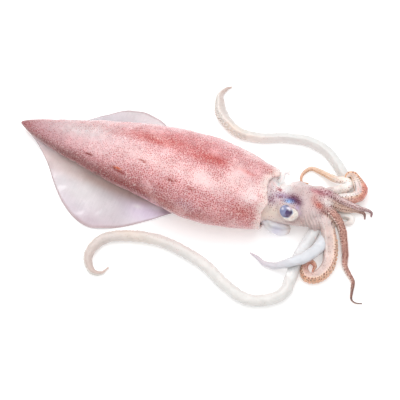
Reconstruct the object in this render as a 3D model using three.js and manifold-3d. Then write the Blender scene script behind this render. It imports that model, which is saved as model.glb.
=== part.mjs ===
// A whole squid lying belly down on a table, as an assembly of separate closed solids.
// Millimetres, +Z up. The working frame has the tail tip at x = 0 and the table at z = 0. The head is
// towards +X, the squid's right side towards -Y. The finished group is moved so that its origin
// is the middle of its bounding box, on the table.

import * as THREE from 'three';
import { LoftGeometry } from 'three/addons/geometries/LoftGeometry.js';
import { mergeVertices } from 'three/addons/utils/BufferGeometryUtils.js';
import Module from 'manifold-3d';

const wasm = await Module();
wasm.setup();

const GAP = 0.3;
const TAU = 2 * Math.PI;
const UP = new THREE.Vector3( 0, 0, 1 );
const LEFT = new THREE.Vector3( 0, 1, 0 );

// Mantle: the tapered body tube. Each station is [x, y, z of the middle, half width, half height].
const MANTLE_STATIONS = [
	[ 0, - 0.2, 7.2, 1.1, 1.1 ],
	[ 4, - 0.5, 7.8, 3.3, 3.1 ],
	[ 10, - 0.9, 8.4, 5.9, 5.5 ],
	[ 20, - 1.3, 9.7, 9.4, 8.2 ],
	[ 36, - 1.7, 12, 13.4, 11.4 ],
	[ 57, - 2, 15.3, 19, 15.6 ],
	[ 80, - 1.8, 18.6, 24.6, 19.3 ],
	[ 105, - 1.2, 21.6, 29.8, 23 ],
	[ 130, - 1.3, 23.4, 33.5, 25.3 ],
	[ 150, - 1.6, 24.6, 35.6, 26.6 ],
	[ 170, - 1.5, 24.9, 35.7, 26.8 ],
	[ 188, - 0.5, 24.2, 33, 25.4 ],
	[ 204, 1, 22.4, 28.6, 22.9 ],
	[ 213, 2, 21.2, 26, 21.2 ],
];
const MANTLE_RINGS = 30;
const MANTLE_SIDES = 32;
const WALL = 3;
const RECESS_DEPTH = 26;
const RECESS_RINGS = 6;
const RIM_BLEND_START = 180;
// How far the rim stands forward or back at each angle, in degrees from the top towards the left side.
const RIM_SHAPE = [
	[ 0, - 1.2 ], [ 14, - 2 ], [ 24, - 0.4 ], [ 37, 3.7 ], [ 60, 1 ], [ 110, 0 ], [ 180, 0 ],
	[ 240, 2.6 ], [ 290, 2.9 ], [ 309, 2.2 ], [ 330, 4.2 ], [ 348, 1 ],
];

// Fins: the outer edge of each, as [x, y] from the tail to the front.
const RIGHT_FIN_EDGE = [
	[ 7, - 4 ], [ 20, - 12 ], [ 34, - 24 ], [ 46, - 38 ], [ 60, - 52 ], [ 75, - 61.5 ], [ 88, - 65 ],
	[ 100, - 62 ], [ 116, - 53 ], [ 132, - 40 ], [ 148, - 26 ],
];
const LEFT_FIN_EDGE = [
	[ 7, 4 ], [ 22, 11 ], [ 42, 23 ], [ 58, 35.5 ], [ 70, 45 ], [ 82, 50.5 ], [ 93, 50.5 ],
	[ 106, 47 ], [ 120, 39 ], [ 134, 29 ], [ 148, 17 ],
];
const FIN_RINGS = 24;
const FIN_RING_POINTS = 7;
const FIN_ROOT_THICKNESS = 4;
const FIN_EDGE_THICKNESS = 1.4;
const FIN_ROOT_HEIGHT = 4.6;
const FIN_TAIL_HEIGHT = 6.6;
const FIN_EDGE_HEIGHT = 1.1;
const FIN_TAIL_LENGTH = 40;
const FIN_ROOT_INSET = 0.35;

// Head: from the neck inside the mantle to the arm crown, in the mantle's kind of stations.
const HEAD_STATIONS = [
	[ 190.5, - 0.2, 21, 10, 8 ],
	[ 193, 0, 20.8, 17, 13.6 ],
	[ 198, 0.4, 20.4, 21, 16.4 ],
	[ 205, 1.4, 19.6, 20, 16 ],
	[ 212, 2.6, 18.6, 17.2, 15 ],
	[ 218, 4, 17.6, 16, 14.8 ],
	[ 225, 6, 16.6, 16.4, 15.2 ],
	[ 235, 9.2, 16, 17.4, 15.4 ],
	[ 245, 12.6, 15, 17, 14.4 ],
	[ 252, 15.6, 14, 14.8, 12.4 ],
	[ 256, 17.8, 13.6, 11.4, 9.6 ],
	[ 258, 18.8, 13.6, 7, 6 ],
];
const HEAD_RINGS = 16;
const HEAD_SIDES = 24;
const EYE_SEGMENTS = 20;
const RIGHT_EYE = { centre: [ 232.5, 1.2, 21.4 ], radius: 10.6 };
const LEFT_EYE = { centre: [ 233, 21.6, 10.8 ], radius: 9.8 };

// Funnel, arms and tentacles: each route point is [x, y, z, radius].
const FUNNEL_ROUTE = [
	[ 209, - 5, 12.8, 5.4 ], [ 216, - 8, 11, 5.5 ], [ 223, - 11, 7.6, 5.8 ], [ 230, - 9.8, 5.2, 5 ],
	[ 235.5, - 6.2, 4.4, 3.8 ],
];
const FUNNEL_SIDES = 16;
const FUNNEL_RINGS = 10;
const FUNNEL_WALL = 1.4;
const FUNNEL_BORE_START = 0.45;

// From the bottom of the crown to its top: each limb makes room for the ones before it.
const LIMB_ROUTES = {
	tentacle_right: [
		[ 251, 9, 9.5, 3.8 ], [ 255.5, 0, 8.5, 4.5 ], [ 254.5, - 13, 6.2, 4.8 ], [ 252, - 30, 4.5, 4.7 ],
		[ 253, - 46, 4.5, 4.7 ], [ 253, - 60, 4.5, 4.7 ], [ 244, - 71, 4.4, 4.5 ], [ 228, - 77, 4.3, 4.4 ],
		[ 209, - 72, 4.4, 4.5 ], [ 190, - 63, 4.4, 4.5 ], [ 168, - 57.5, 4.2, 4.4 ], [ 145, - 56, 4.2, 4.3 ],
		[ 124, - 61, 4.2, 4.3 ], [ 107, - 70, 4, 4.1 ], [ 101, - 82, 3.8, 3.9 ], [ 102, - 93, 3.2, 3.3 ],
		[ 109, - 100, 2.4, 2.4 ], [ 116, - 98.5, 1.6, 1.5 ], [ 119, - 92, 1, 0.7 ],
	],
	tentacle_left: [
		[ 250, 19, 6, 3.4 ], [ 256, 22.5, 4.5, 3.8 ], [ 263, 29, 4.2, 4.1 ], [ 269, 40, 4.2, 4.2 ],
		[ 266, 49, 4.2, 4.3 ], [ 256, 59, 4.3, 4.4 ], [ 240, 71, 4.3, 4.4 ], [ 222, 75, 4.2, 4.2 ],
		[ 203, 71, 4, 4 ], [ 184, 63, 4, 4 ], [ 167, 61, 4.2, 4.2 ], [ 153, 67, 4.4, 4.7 ],
		[ 145, 74, 4.4, 4.8 ], [ 140, 84, 3.6, 3.6 ], [ 138, 91, 2.6, 2.4 ], [ 140, 98, 1.8, 1.5 ],
		[ 143, 102, 1, 0.7 ],
	],
	arm_right_4: [
		[ 251, 11, 8.5, 3.6 ], [ 260, 6, 8, 4 ], [ 265.5, - 5, 8.6, 4.5 ], [ 264.5, - 17, 9.6, 4.6 ],
		[ 259.5, - 28, 12, 4.5 ], [ 253, - 35, 12.4, 4 ], [ 246, - 39.5, 9.4, 3.4 ], [ 238, - 42, 4.6, 2.8 ],
		[ 229, - 42, 2.2, 1.9 ], [ 223, - 39, 1.5, 1.3 ], [ 216, - 37, 0.9, 0.6 ],
	],
	arm_right_3: [
		[ 251, 12, 15, 4 ], [ 258, 7, 16, 4.9 ], [ 266, 0, 13.5, 5.7 ], [ 271.5, - 9, 9.5, 5.9 ],
		[ 275.5, - 19, 6.6, 5.6 ], [ 276, - 29, 5.2, 5.2 ], [ 272, - 38, 4.4, 4.5 ], [ 265, - 41, 4, 4 ],
		[ 260, - 36, 3.6, 3.5 ], [ 259, - 30, 3.2, 2.9 ], [ 262, - 26.5, 2.8, 2.3 ], [ 266.5, - 28.5, 2.2, 1.6 ],
		[ 266.5, - 33, 1.4, 0.9 ],
	],
	arm_right_2: [
		[ 251, 15, 19.5, 3.6 ], [ 258, 13, 20, 4 ], [ 268, 9.5, 17, 4 ], [ 275, 5, 12, 3.5 ],
		[ 280, - 2, 7.5, 3.1 ], [ 284.5, - 11, 3.8, 2.7 ], [ 287.5, - 19, 2.4, 2.3 ], [ 292, - 24.5, 2, 2 ],
		[ 298, - 30, 1.7, 1.7 ], [ 300, - 37, 1.3, 1.3 ], [ 302, - 44, 0.9, 0.9 ], [ 306, - 46, 0.7, 0.6 ],
		[ 311, - 44.5, 0.5, 0.4 ],
	],
	arm_right_1: [
		[ 252, 19, 22, 3.4 ], [ 259, 18.5, 21, 3.4 ], [ 267, 20.5, 15, 2.9 ], [ 274, 25, 8.8, 2.4 ],
		[ 281, 29.5, 4, 1.8 ], [ 286, 30, 2, 1.2 ], [ 288, 26.5, 0.9, 0.6 ],
	],
	arm_left_1: [
		[ 251, 25, 20, 3.4 ], [ 258, 25.5, 20, 3.5 ], [ 265, 26, 17, 3.1 ], [ 273, 28, 12, 2.5 ],
		[ 281, 30.5, 7, 1.9 ], [ 287, 33, 3.6, 1.4 ], [ 291, 33, 2.4, 1.1 ], [ 292, 30, 1.6, 0.6 ],
	],
	arm_left_4: [
		[ 251, 13.5, 5, 3 ], [ 257, 15, 3.8, 3.3 ], [ 265, 19, 3.6, 3.6 ], [ 273, 22, 3.2, 3.3 ],
		[ 278, 21.5, 2.7, 2.8 ], [ 278.5, 18, 2.2, 2.3 ], [ 273.5, 15.5, 1.7, 1.8 ], [ 267, 14.5, 1.1, 1.1 ],
	],
	arm_left_3: [
		[ 251, 23, 9, 3.4 ], [ 256, 26, 10, 3.6 ], [ 262, 29, 12, 3.8 ], [ 269, 32, 12.4, 3.8 ],
		[ 274.5, 36, 10.5, 4.4 ], [ 277.6, 42, 7.5, 5.2 ], [ 276, 48, 6.6, 5.2 ], [ 272.6, 52, 7.2, 4.4 ],
		[ 268, 55, 9.6, 3.4 ], [ 264.5, 54.8, 10.8, 2.6 ], [ 262.8, 52.2, 10.6, 1.8 ], [ 263, 49.8, 10.2, 1.1 ],
	],
	arm_left_2: [
		[ 251, 27, 14, 3.4 ], [ 256, 30.5, 15, 3.5 ], [ 261, 36, 14, 3.4 ], [ 266, 41.5, 12.6, 3.2 ],
		[ 266.5, 46, 12.2, 3 ], [ 262, 47, 12, 3 ], [ 256, 46.5, 10, 2.9 ], [ 248, 49.5, 6, 2.5 ],
		[ 240, 52.5, 2.8, 2.1 ], [ 233, 53, 1.9, 1.8 ], [ 229, 48.5, 1.5, 1.5 ], [ 228, 43, 1.2, 1.1 ],
		[ 230, 39, 0.9, 0.8 ], [ 235, 39.5, 0.7, 0.5 ],
	],
};
const LIMB_SIDES = 8;
const LIMB_FLATTENING = 0.92;
const TENTACLE_RING_SPACING = 5;
const ARM_RING_SPACING = 3.6;

// Plain colours for each kind of skin, and how rough each finish is.
const COLOURS = {
	mantle: 0xd99a94, fin: 0xe9dde2, head: 0xd9b9b2, eye: 0x8f93b8, funnel: 0xe6e8ee,
	tentacle: 0xf3e9e2, arm: 0xc79a86, whiteArm: 0xf1e4dc,
};
const SKIN_ROUGHNESS = 0.4;
const WET_ROUGHNESS = 0.35;
const EYE_ROUGHNESS = 0.1;

// The floor of a hollow: how small its last ring is, and how far it is domed towards the opening.
const MANTLE_FLOOR_RADIUS = 2;
const MANTLE_FLOOR_DOME = 1;
const BORE_FLOOR_SHARE = 0.15;
const BORE_FLOOR_DOME = 0.2;
const SEARCH_STEPS = 30;
const HALF_STEP = 0.5;

// Any smooth list of rows, read at u from 0 to 1. Each row is cut into threes for the spline.
function rowReader( rows ) {

	const curves = [];
	for ( let column = 0; column < rows[ 0 ].length; column += 3 ) {

		const points = rows.map( ( row ) => {

			const [ x, y = 0, z = 0 ] = row.slice( column );
			return new THREE.Vector3( x, y, z );

		} );
		curves.push( new THREE.CatmullRomCurve3( points, false, 'catmullrom', 0.5 ) );

	}

	return ( u ) => curves.flatMap( ( curve ) => curve.getPoint( u ).toArray() );

}

// One ring of points, in the order that makes a loft along left x up face outwards.
function ellipseRing( centre, left, up, halfWidth, halfHeight, sides ) {

	return Array.from( { length: sides }, ( _, i ) => {

		const angle = TAU * i / sides;
		const point = centre.clone();
		point.addScaledVector( left, halfWidth * Math.cos( angle ) );
		point.addScaledVector( up, halfHeight * Math.sin( angle ) );
		point.z = Math.max( point.z, 0 );
		return point;

	} );

}

// The rings of a tube through stations [x, y, z, half width, half height], square to its course.
function tubeRings( stations, ringCount, sides, growth = 0 ) {

	const read = rowReader( stations );
	return Array.from( { length: ringCount }, ( _, i ) => {

		const u = i / ( ringCount - 1 );
		const [ x, y, z, halfWidth, halfHeight ] = read( u );
		const step = HALF_STEP / ringCount;
		const ahead = new THREE.Vector3( ...read( Math.min( u + step, 1 ) ) );
		const behind = new THREE.Vector3( ...read( Math.max( u - step, 0 ) ) );
		const left = UP.clone().cross( ahead.sub( behind ) ).normalize();
		const up = ahead.clone().normalize().cross( left );
		const centre = new THREE.Vector3( x, y, z );
		return ellipseRing( centre, left, up, halfWidth + growth, halfHeight + growth, sides );

	} );

}

function limbStations( route ) {

	return route.map( ( [ x, y, z, radius ] ) => [ x, y, z, radius, radius * LIMB_FLATTENING ] );

}

function routeLength( route ) {

	const points = route.map( ( [ x, y, z ] ) => new THREE.Vector3( x, y, z ) );
	return new THREE.CatmullRomCurve3( points ).getLength();

}

function closedLoft( rings ) {

	return new LoftGeometry( rings, { capStart: true, capEnd: true } );

}

function solidOf( geometry ) {

	const bare = new THREE.BufferGeometry();
	bare.setAttribute( 'position', geometry.attributes.position );
	bare.setIndex( geometry.index );
	const merged = mergeVertices( bare, 1e-4 );
	return new wasm.Manifold( new wasm.Mesh( {
		numProp: 3,
		vertProperties: new Float32Array( merged.attributes.position.array ),
		triVerts: new Uint32Array( merged.index.array ),
	} ) );

}

function geometryOf( solid ) {

	const mesh = solid.getMesh();
	const geometry = new THREE.BufferGeometry();
	geometry.setAttribute( 'position', new THREE.BufferAttribute( mesh.vertProperties, 3 ) );
	geometry.setIndex( new THREE.BufferAttribute( mesh.triVerts, 1 ) );
	geometry.computeVertexNormals();
	return geometry;

}

function named( name, geometry, color, roughness ) {

	const material = new THREE.MeshStandardMaterial( { color, roughness, metalness: 0 } );
	const mesh = new THREE.Mesh( geometry, material );
	mesh.name = name;
	return mesh;

}

// How far the rim stands forward at an angle, measured in degrees from the top towards the left.
function rimOffset( degrees ) {

	const wrapped = ( degrees + 360 ) % 360;
	const rows = [ ...RIM_SHAPE, [ 360, RIM_SHAPE[ 0 ][ 1 ] ] ];
	const next = rows.findIndex( ( [ angle ] ) => angle > wrapped );
	const [ startAngle, startOffset ] = rows[ next - 1 ];
	const [ endAngle, endOffset ] = rows[ next ];
	const share = THREE.MathUtils.smoothstep( wrapped, startAngle, endAngle );
	return THREE.MathUtils.lerp( startOffset, endOffset, share );

}

// One mantle ring across the body at u, drawn in by the wall where it is the inner face.
function mantleRing( read, u, inset ) {

	const [ x, y, z, halfWidth, halfHeight ] = read( u );
	const centre = new THREE.Vector3( x, y, z );
	const ring = ellipseRing( centre, LEFT, UP, halfWidth - inset, halfHeight - inset, MANTLE_SIDES );
	const rimX = MANTLE_STATIONS.at( - 1 )[ 0 ];
	const share = THREE.MathUtils.smoothstep( x, RIM_BLEND_START, rimX );
	ring.forEach( ( point, i ) => {

		const degreesFromTop = 90 - 360 * i / MANTLE_SIDES;
		point.x += share * rimOffset( degreesFromTop );
		point.z = Math.max( point.z, inset );

	} );
	return ring;

}

// The outer skin from tail to rim, round the rim, and back along the inner wall to a domed floor.
function mantleGeometry( growth = 0 ) {

	const read = rowReader( MANTLE_STATIONS );
	const rings = [];
	for ( let i = 0; i < MANTLE_RINGS; i ++ ) {

		rings.push( mantleRing( read, i / ( MANTLE_RINGS - 1 ), - growth ) );

	}
	if ( growth > 0 ) return closedLoft( rings );
	const rimX = MANTLE_STATIONS.at( - 1 )[ 0 ];
	const floorU = mantleShareAt( read, rimX - RECESS_DEPTH );
	for ( let i = 0; i < RECESS_RINGS; i ++ ) {

		rings.push( mantleRing( read, THREE.MathUtils.lerp( 1, floorU, i / ( RECESS_RINGS - 1 ) ), WALL ) );

	}

	const [ x, y, z ] = read( floorU );
	const floorDome = new THREE.Vector3( x + MANTLE_FLOOR_DOME, y, z );
	const radius = MANTLE_FLOOR_RADIUS;
	rings.push( ellipseRing( floorDome, LEFT, UP, radius, radius, MANTLE_SIDES ) );
	return closedLoft( rings );

}

// The share u of the mantle's spline at which it reaches a given x.
function mantleShareAt( read, x ) {

	let low = 0;
	let high = 1;
	for ( let i = 0; i < SEARCH_STEPS; i ++ ) {

		const middle = ( low + high ) / 2;
		if ( read( middle )[ 0 ] < x ) low = middle;
		else high = middle;

	}

	return low;

}

// A fin is a thin blade from under the mantle out to its edge, drooping onto the table.
function finGeometry( edge ) {

	const side = Math.sign( edge[ 3 ][ 1 ] );
	const readEdge = rowReader( edge );
	const readMantle = rowReader( MANTLE_STATIONS );
	const rings = [];
	for ( let i = 0; i < FIN_RINGS; i ++ ) {

		const [ x, edgeY ] = readEdge( i / ( FIN_RINGS - 1 ) );
		const [ , y, , halfWidth ] = readMantle( mantleShareAt( readMantle, x ) );
		const rootY = y + side * halfWidth * FIN_ROOT_INSET;
		const towardsTail = Math.max( 1 - x / FIN_TAIL_LENGTH, 0 );
		const rootZ = THREE.MathUtils.lerp( FIN_ROOT_HEIGHT, FIN_TAIL_HEIGHT, towardsTail );
		const edgeZ = THREE.MathUtils.lerp( FIN_EDGE_HEIGHT, FIN_TAIL_HEIGHT, towardsTail ** 2 );
		rings.push( finRing( x, rootY, edgeY, rootZ, edgeZ, side ) );

	}

	return closedLoft( rings );

}

function finRing( x, rootY, edgeY, rootZ, edgeZ, side ) {

	const upper = [];
	const lower = [];
	for ( let i = 0; i < FIN_RING_POINTS; i ++ ) {

		const share = i / ( FIN_RING_POINTS - 1 );
		const y = THREE.MathUtils.lerp( rootY, edgeY, share );
		const middle = THREE.MathUtils.lerp( edgeZ, rootZ, ( 1 - share ) ** 2 );
		const thickness = THREE.MathUtils.lerp( FIN_ROOT_THICKNESS, FIN_EDGE_THICKNESS, share );
		upper.push( new THREE.Vector3( x, y, middle + thickness / 2 ) );
		lower.push( new THREE.Vector3( x, y, Math.max( middle - thickness / 2, 0 ) ) );

	}

	const ring = [ ...upper, ...lower.reverse() ];
	return side > 0 ? ring.reverse() : ring;

}

function eyeGeometry( { centre, radius }, growth = 0 ) {

	const ball = new THREE.SphereGeometry( radius + growth, EYE_SEGMENTS, EYE_SEGMENTS / 2 );
	return ball.translate( ...centre );

}

// A curved cone with an open mouth: the outer face forward to the mouth and the bore back from it.
function funnelGeometry( growth = 0 ) {

	const rings = tubeRings( limbStations( FUNNEL_ROUTE ), FUNNEL_RINGS, FUNNEL_SIDES, growth );
	if ( growth > 0 ) return closedLoft( rings );
	const bore = tubeRings( limbStations( FUNNEL_ROUTE ), FUNNEL_RINGS, FUNNEL_SIDES, - FUNNEL_WALL );
	const kept = bore.slice( Math.floor( FUNNEL_RINGS * FUNNEL_BORE_START ) );
	return closedLoft( [ ...rings, ...kept.reverse(), boreEnd( kept.at( - 1 ), kept.at( - 2 ) ) ] );

}

// The last ring of a bore: its floor drawn together to a small ring, domed towards the mouth.
function boreEnd( floorRing, ringBefore ) {

	const middle = ( ring ) => ring.reduce( ( sum, point ) => sum.add( point ), new THREE.Vector3() )
		.divideScalar( ring.length );
	const centre = middle( floorRing );
	const dome = centre.clone().lerp( middle( ringBefore ), BORE_FLOOR_DOME );
	return floorRing.map( ( point ) => {

		const drawnIn = point.clone().sub( centre ).multiplyScalar( BORE_FLOOR_SHARE );
		return drawnIn.add( dome );

	} );

}

function limbGeometry( name, growth = 0 ) {

	const route = LIMB_ROUTES[ name ];
	const spacing = name.startsWith( 'tentacle' ) ? TENTACLE_RING_SPACING : ARM_RING_SPACING;
	const ringCount = Math.round( routeLength( route ) / spacing );
	return closedLoft( tubeRings( limbStations( route ), ringCount, LIMB_SIDES, growth ) );

}

function mantle() {

	return named( 'mantle', mantleGeometry(), COLOURS.mantle, SKIN_ROUGHNESS );

}

function fin( name, edge ) {

	const solid = solidOf( finGeometry( edge ) ).subtract( solidOf( mantleGeometry( GAP ) ) );
	return named( name, geometryOf( solid ), COLOURS.fin, WET_ROUGHNESS );

}

// The head has a socket for each eye and a groove for the funnel.
function head() {

	const solid = solidOf( closedLoft( tubeRings( HEAD_STATIONS, HEAD_RINGS, HEAD_SIDES ) ) )
		.subtract( solidOf( eyeGeometry( RIGHT_EYE, GAP ) ) )
		.subtract( solidOf( eyeGeometry( LEFT_EYE, GAP ) ) )
		.subtract( solidOf( funnelGeometry( GAP ) ) );
	return named( 'head', geometryOf( solid ), COLOURS.head, SKIN_ROUGHNESS );

}

function eye( name, dimensions ) {

	return named( name, eyeGeometry( dimensions ), COLOURS.eye, EYE_ROUGHNESS );

}

function funnel() {

	return named( 'funnel', funnelGeometry(), COLOURS.funnel, WET_ROUGHNESS );

}

// Each limb starts at the front of the head, and is cut back where an earlier limb lies against it.
function limbs() {

	const grownHead = solidOf( closedLoft( tubeRings( HEAD_STATIONS, HEAD_RINGS, HEAD_SIDES, GAP ) ) );
	const grownLimbs = [];
	return Object.keys( LIMB_ROUTES ).map( ( name ) => {

		let solid = solidOf( limbGeometry( name ) ).subtract( grownHead );
		for ( const other of grownLimbs ) solid = solid.subtract( other );
		grownLimbs.push( solidOf( limbGeometry( name, GAP ) ) );
		return named( name, geometryOf( solid ), limbColour( name ), SKIN_ROUGHNESS );

	} );

}

function limbColour( name ) {

	if ( name.startsWith( 'tentacle' ) ) return COLOURS.tentacle;
	return name === 'arm_right_4' ? COLOURS.whiteArm : COLOURS.arm;

}

function squid() {

	const body = new THREE.Group();
	body.add( mantle(), fin( 'fin_right', RIGHT_FIN_EDGE ), fin( 'fin_left', LEFT_FIN_EDGE ) );
	body.add( head(), eye( 'eye_right', RIGHT_EYE ), eye( 'eye_left', LEFT_EYE ), funnel() );
	body.add( ...limbs() );
	const box = new THREE.Box3().setFromObject( body );
	const middle = box.getCenter( new THREE.Vector3() );
	body.position.set( - middle.x, - middle.y, - box.min.z );
	const group = new THREE.Group();
	group.add( body );
	return group;

}

export default squid();
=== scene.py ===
"""The looks of a whole squid that lies belly down on a table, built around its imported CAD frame.

Lengths are millimetres in the CAD source's working frame: the tail tip is at x = 0, the table at
z = 0, the head is towards +X and the squid's right side towards -Y. place() turns them into metres
in the part's own frame. Colours are written as sRGB values from 0 to 255.
"""

import math

import bpy
import numpy as np
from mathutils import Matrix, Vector


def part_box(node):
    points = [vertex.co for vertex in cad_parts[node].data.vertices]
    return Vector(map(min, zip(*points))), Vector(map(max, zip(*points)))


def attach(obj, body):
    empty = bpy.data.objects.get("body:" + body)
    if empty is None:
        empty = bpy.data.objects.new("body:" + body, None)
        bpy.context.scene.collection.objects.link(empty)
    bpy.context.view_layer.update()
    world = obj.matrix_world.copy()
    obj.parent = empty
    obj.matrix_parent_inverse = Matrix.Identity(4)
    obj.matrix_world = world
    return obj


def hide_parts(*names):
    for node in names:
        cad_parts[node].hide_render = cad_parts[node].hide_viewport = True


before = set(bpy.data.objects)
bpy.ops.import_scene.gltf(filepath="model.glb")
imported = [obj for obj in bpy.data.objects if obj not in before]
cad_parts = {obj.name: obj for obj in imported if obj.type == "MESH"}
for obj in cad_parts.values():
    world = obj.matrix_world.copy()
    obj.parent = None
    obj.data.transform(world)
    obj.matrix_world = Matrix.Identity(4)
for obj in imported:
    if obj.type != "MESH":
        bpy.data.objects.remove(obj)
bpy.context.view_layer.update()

TAU = 2 * math.pi
UP = np.array([0.0, 0.0, 1.0])
RIPPLE_WAVES = 14

# The CAD source's own sizes, repeated here. Stations are [x, y, z of the middle, half width, half height].
MANTLE_STATIONS = [
    [0, -0.2, 7.2, 1.1, 1.1], [4, -0.5, 7.8, 3.3, 3.1], [10, -0.9, 8.4, 5.9, 5.5],
    [20, -1.3, 9.7, 9.4, 8.2], [36, -1.7, 12, 13.4, 11.4], [57, -2, 15.3, 19, 15.6],
    [80, -1.8, 18.6, 24.6, 19.3], [105, -1.2, 21.6, 29.8, 23], [130, -1.3, 23.4, 33.5, 25.3],
    [150, -1.6, 24.6, 35.6, 26.6], [170, -1.5, 24.9, 35.7, 26.8], [188, -0.5, 24.2, 33, 25.4],
    [204, 1, 22.4, 28.6, 22.9], [213, 2, 21.2, 26, 21.2],
]
RIM_BLEND_START = 180
RIM_SHAPE = [
    [0, -1.2], [14, -2], [24, -0.4], [37, 3.7], [60, 1], [110, 0], [180, 0],
    [240, 2.6], [290, 2.9], [309, 2.2], [330, 4.2], [348, 1], [360, -1.2],
]
WALL = 3.0
RECESS_DEPTH = 26
RIGHT_FIN_EDGE = [
    [7, -4], [20, -12], [34, -24], [46, -38], [60, -52], [75, -61.5], [88, -65],
    [100, -62], [116, -53], [132, -40], [148, -26],
]
LEFT_FIN_EDGE = [
    [7, 4], [22, 11], [42, 23], [58, 35.5], [70, 45], [82, 50.5], [93, 50.5],
    [106, 47], [120, 39], [134, 29], [148, 17],
]
HEAD_STATIONS = [
    [190.5, -0.2, 21, 10, 8], [193, 0, 20.8, 17, 13.6], [198, 0.4, 20.4, 21, 16.4],
    [205, 1.4, 19.6, 20, 16], [212, 2.6, 18.6, 17.2, 15], [218, 4, 17.6, 16, 14.8],
    [225, 6, 16.6, 16.4, 15.2], [235, 9.2, 16, 17.4, 15.4], [245, 12.6, 15, 17, 14.4],
    [252, 15.6, 14, 14.8, 12.4], [256, 17.8, 13.6, 11.4, 9.6], [258, 18.8, 13.6, 7, 6],
]
RIGHT_EYE = (np.array([232.5, 1.2, 21.4]), 10.6)
LEFT_EYE = (np.array([233, 21.6, 10.8]), 9.8)
RIGHT_EYE_AXIS = np.array([-0.03, -0.755, 0.655])
LEFT_EYE_AXIS = np.array([0.02, 0.87, -0.42])
FUNNEL_ROUTE = [
    [209, -5, 12.8, 5.4], [216, -8, 11, 5.5], [223, -11, 7.6, 5.8], [230, -9.8, 5.2, 5],
    [235.5, -6.2, 4.4, 3.8],
]
FUNNEL_WALL = 1.4

LIMB_FLATTENING = 0.92
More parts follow.
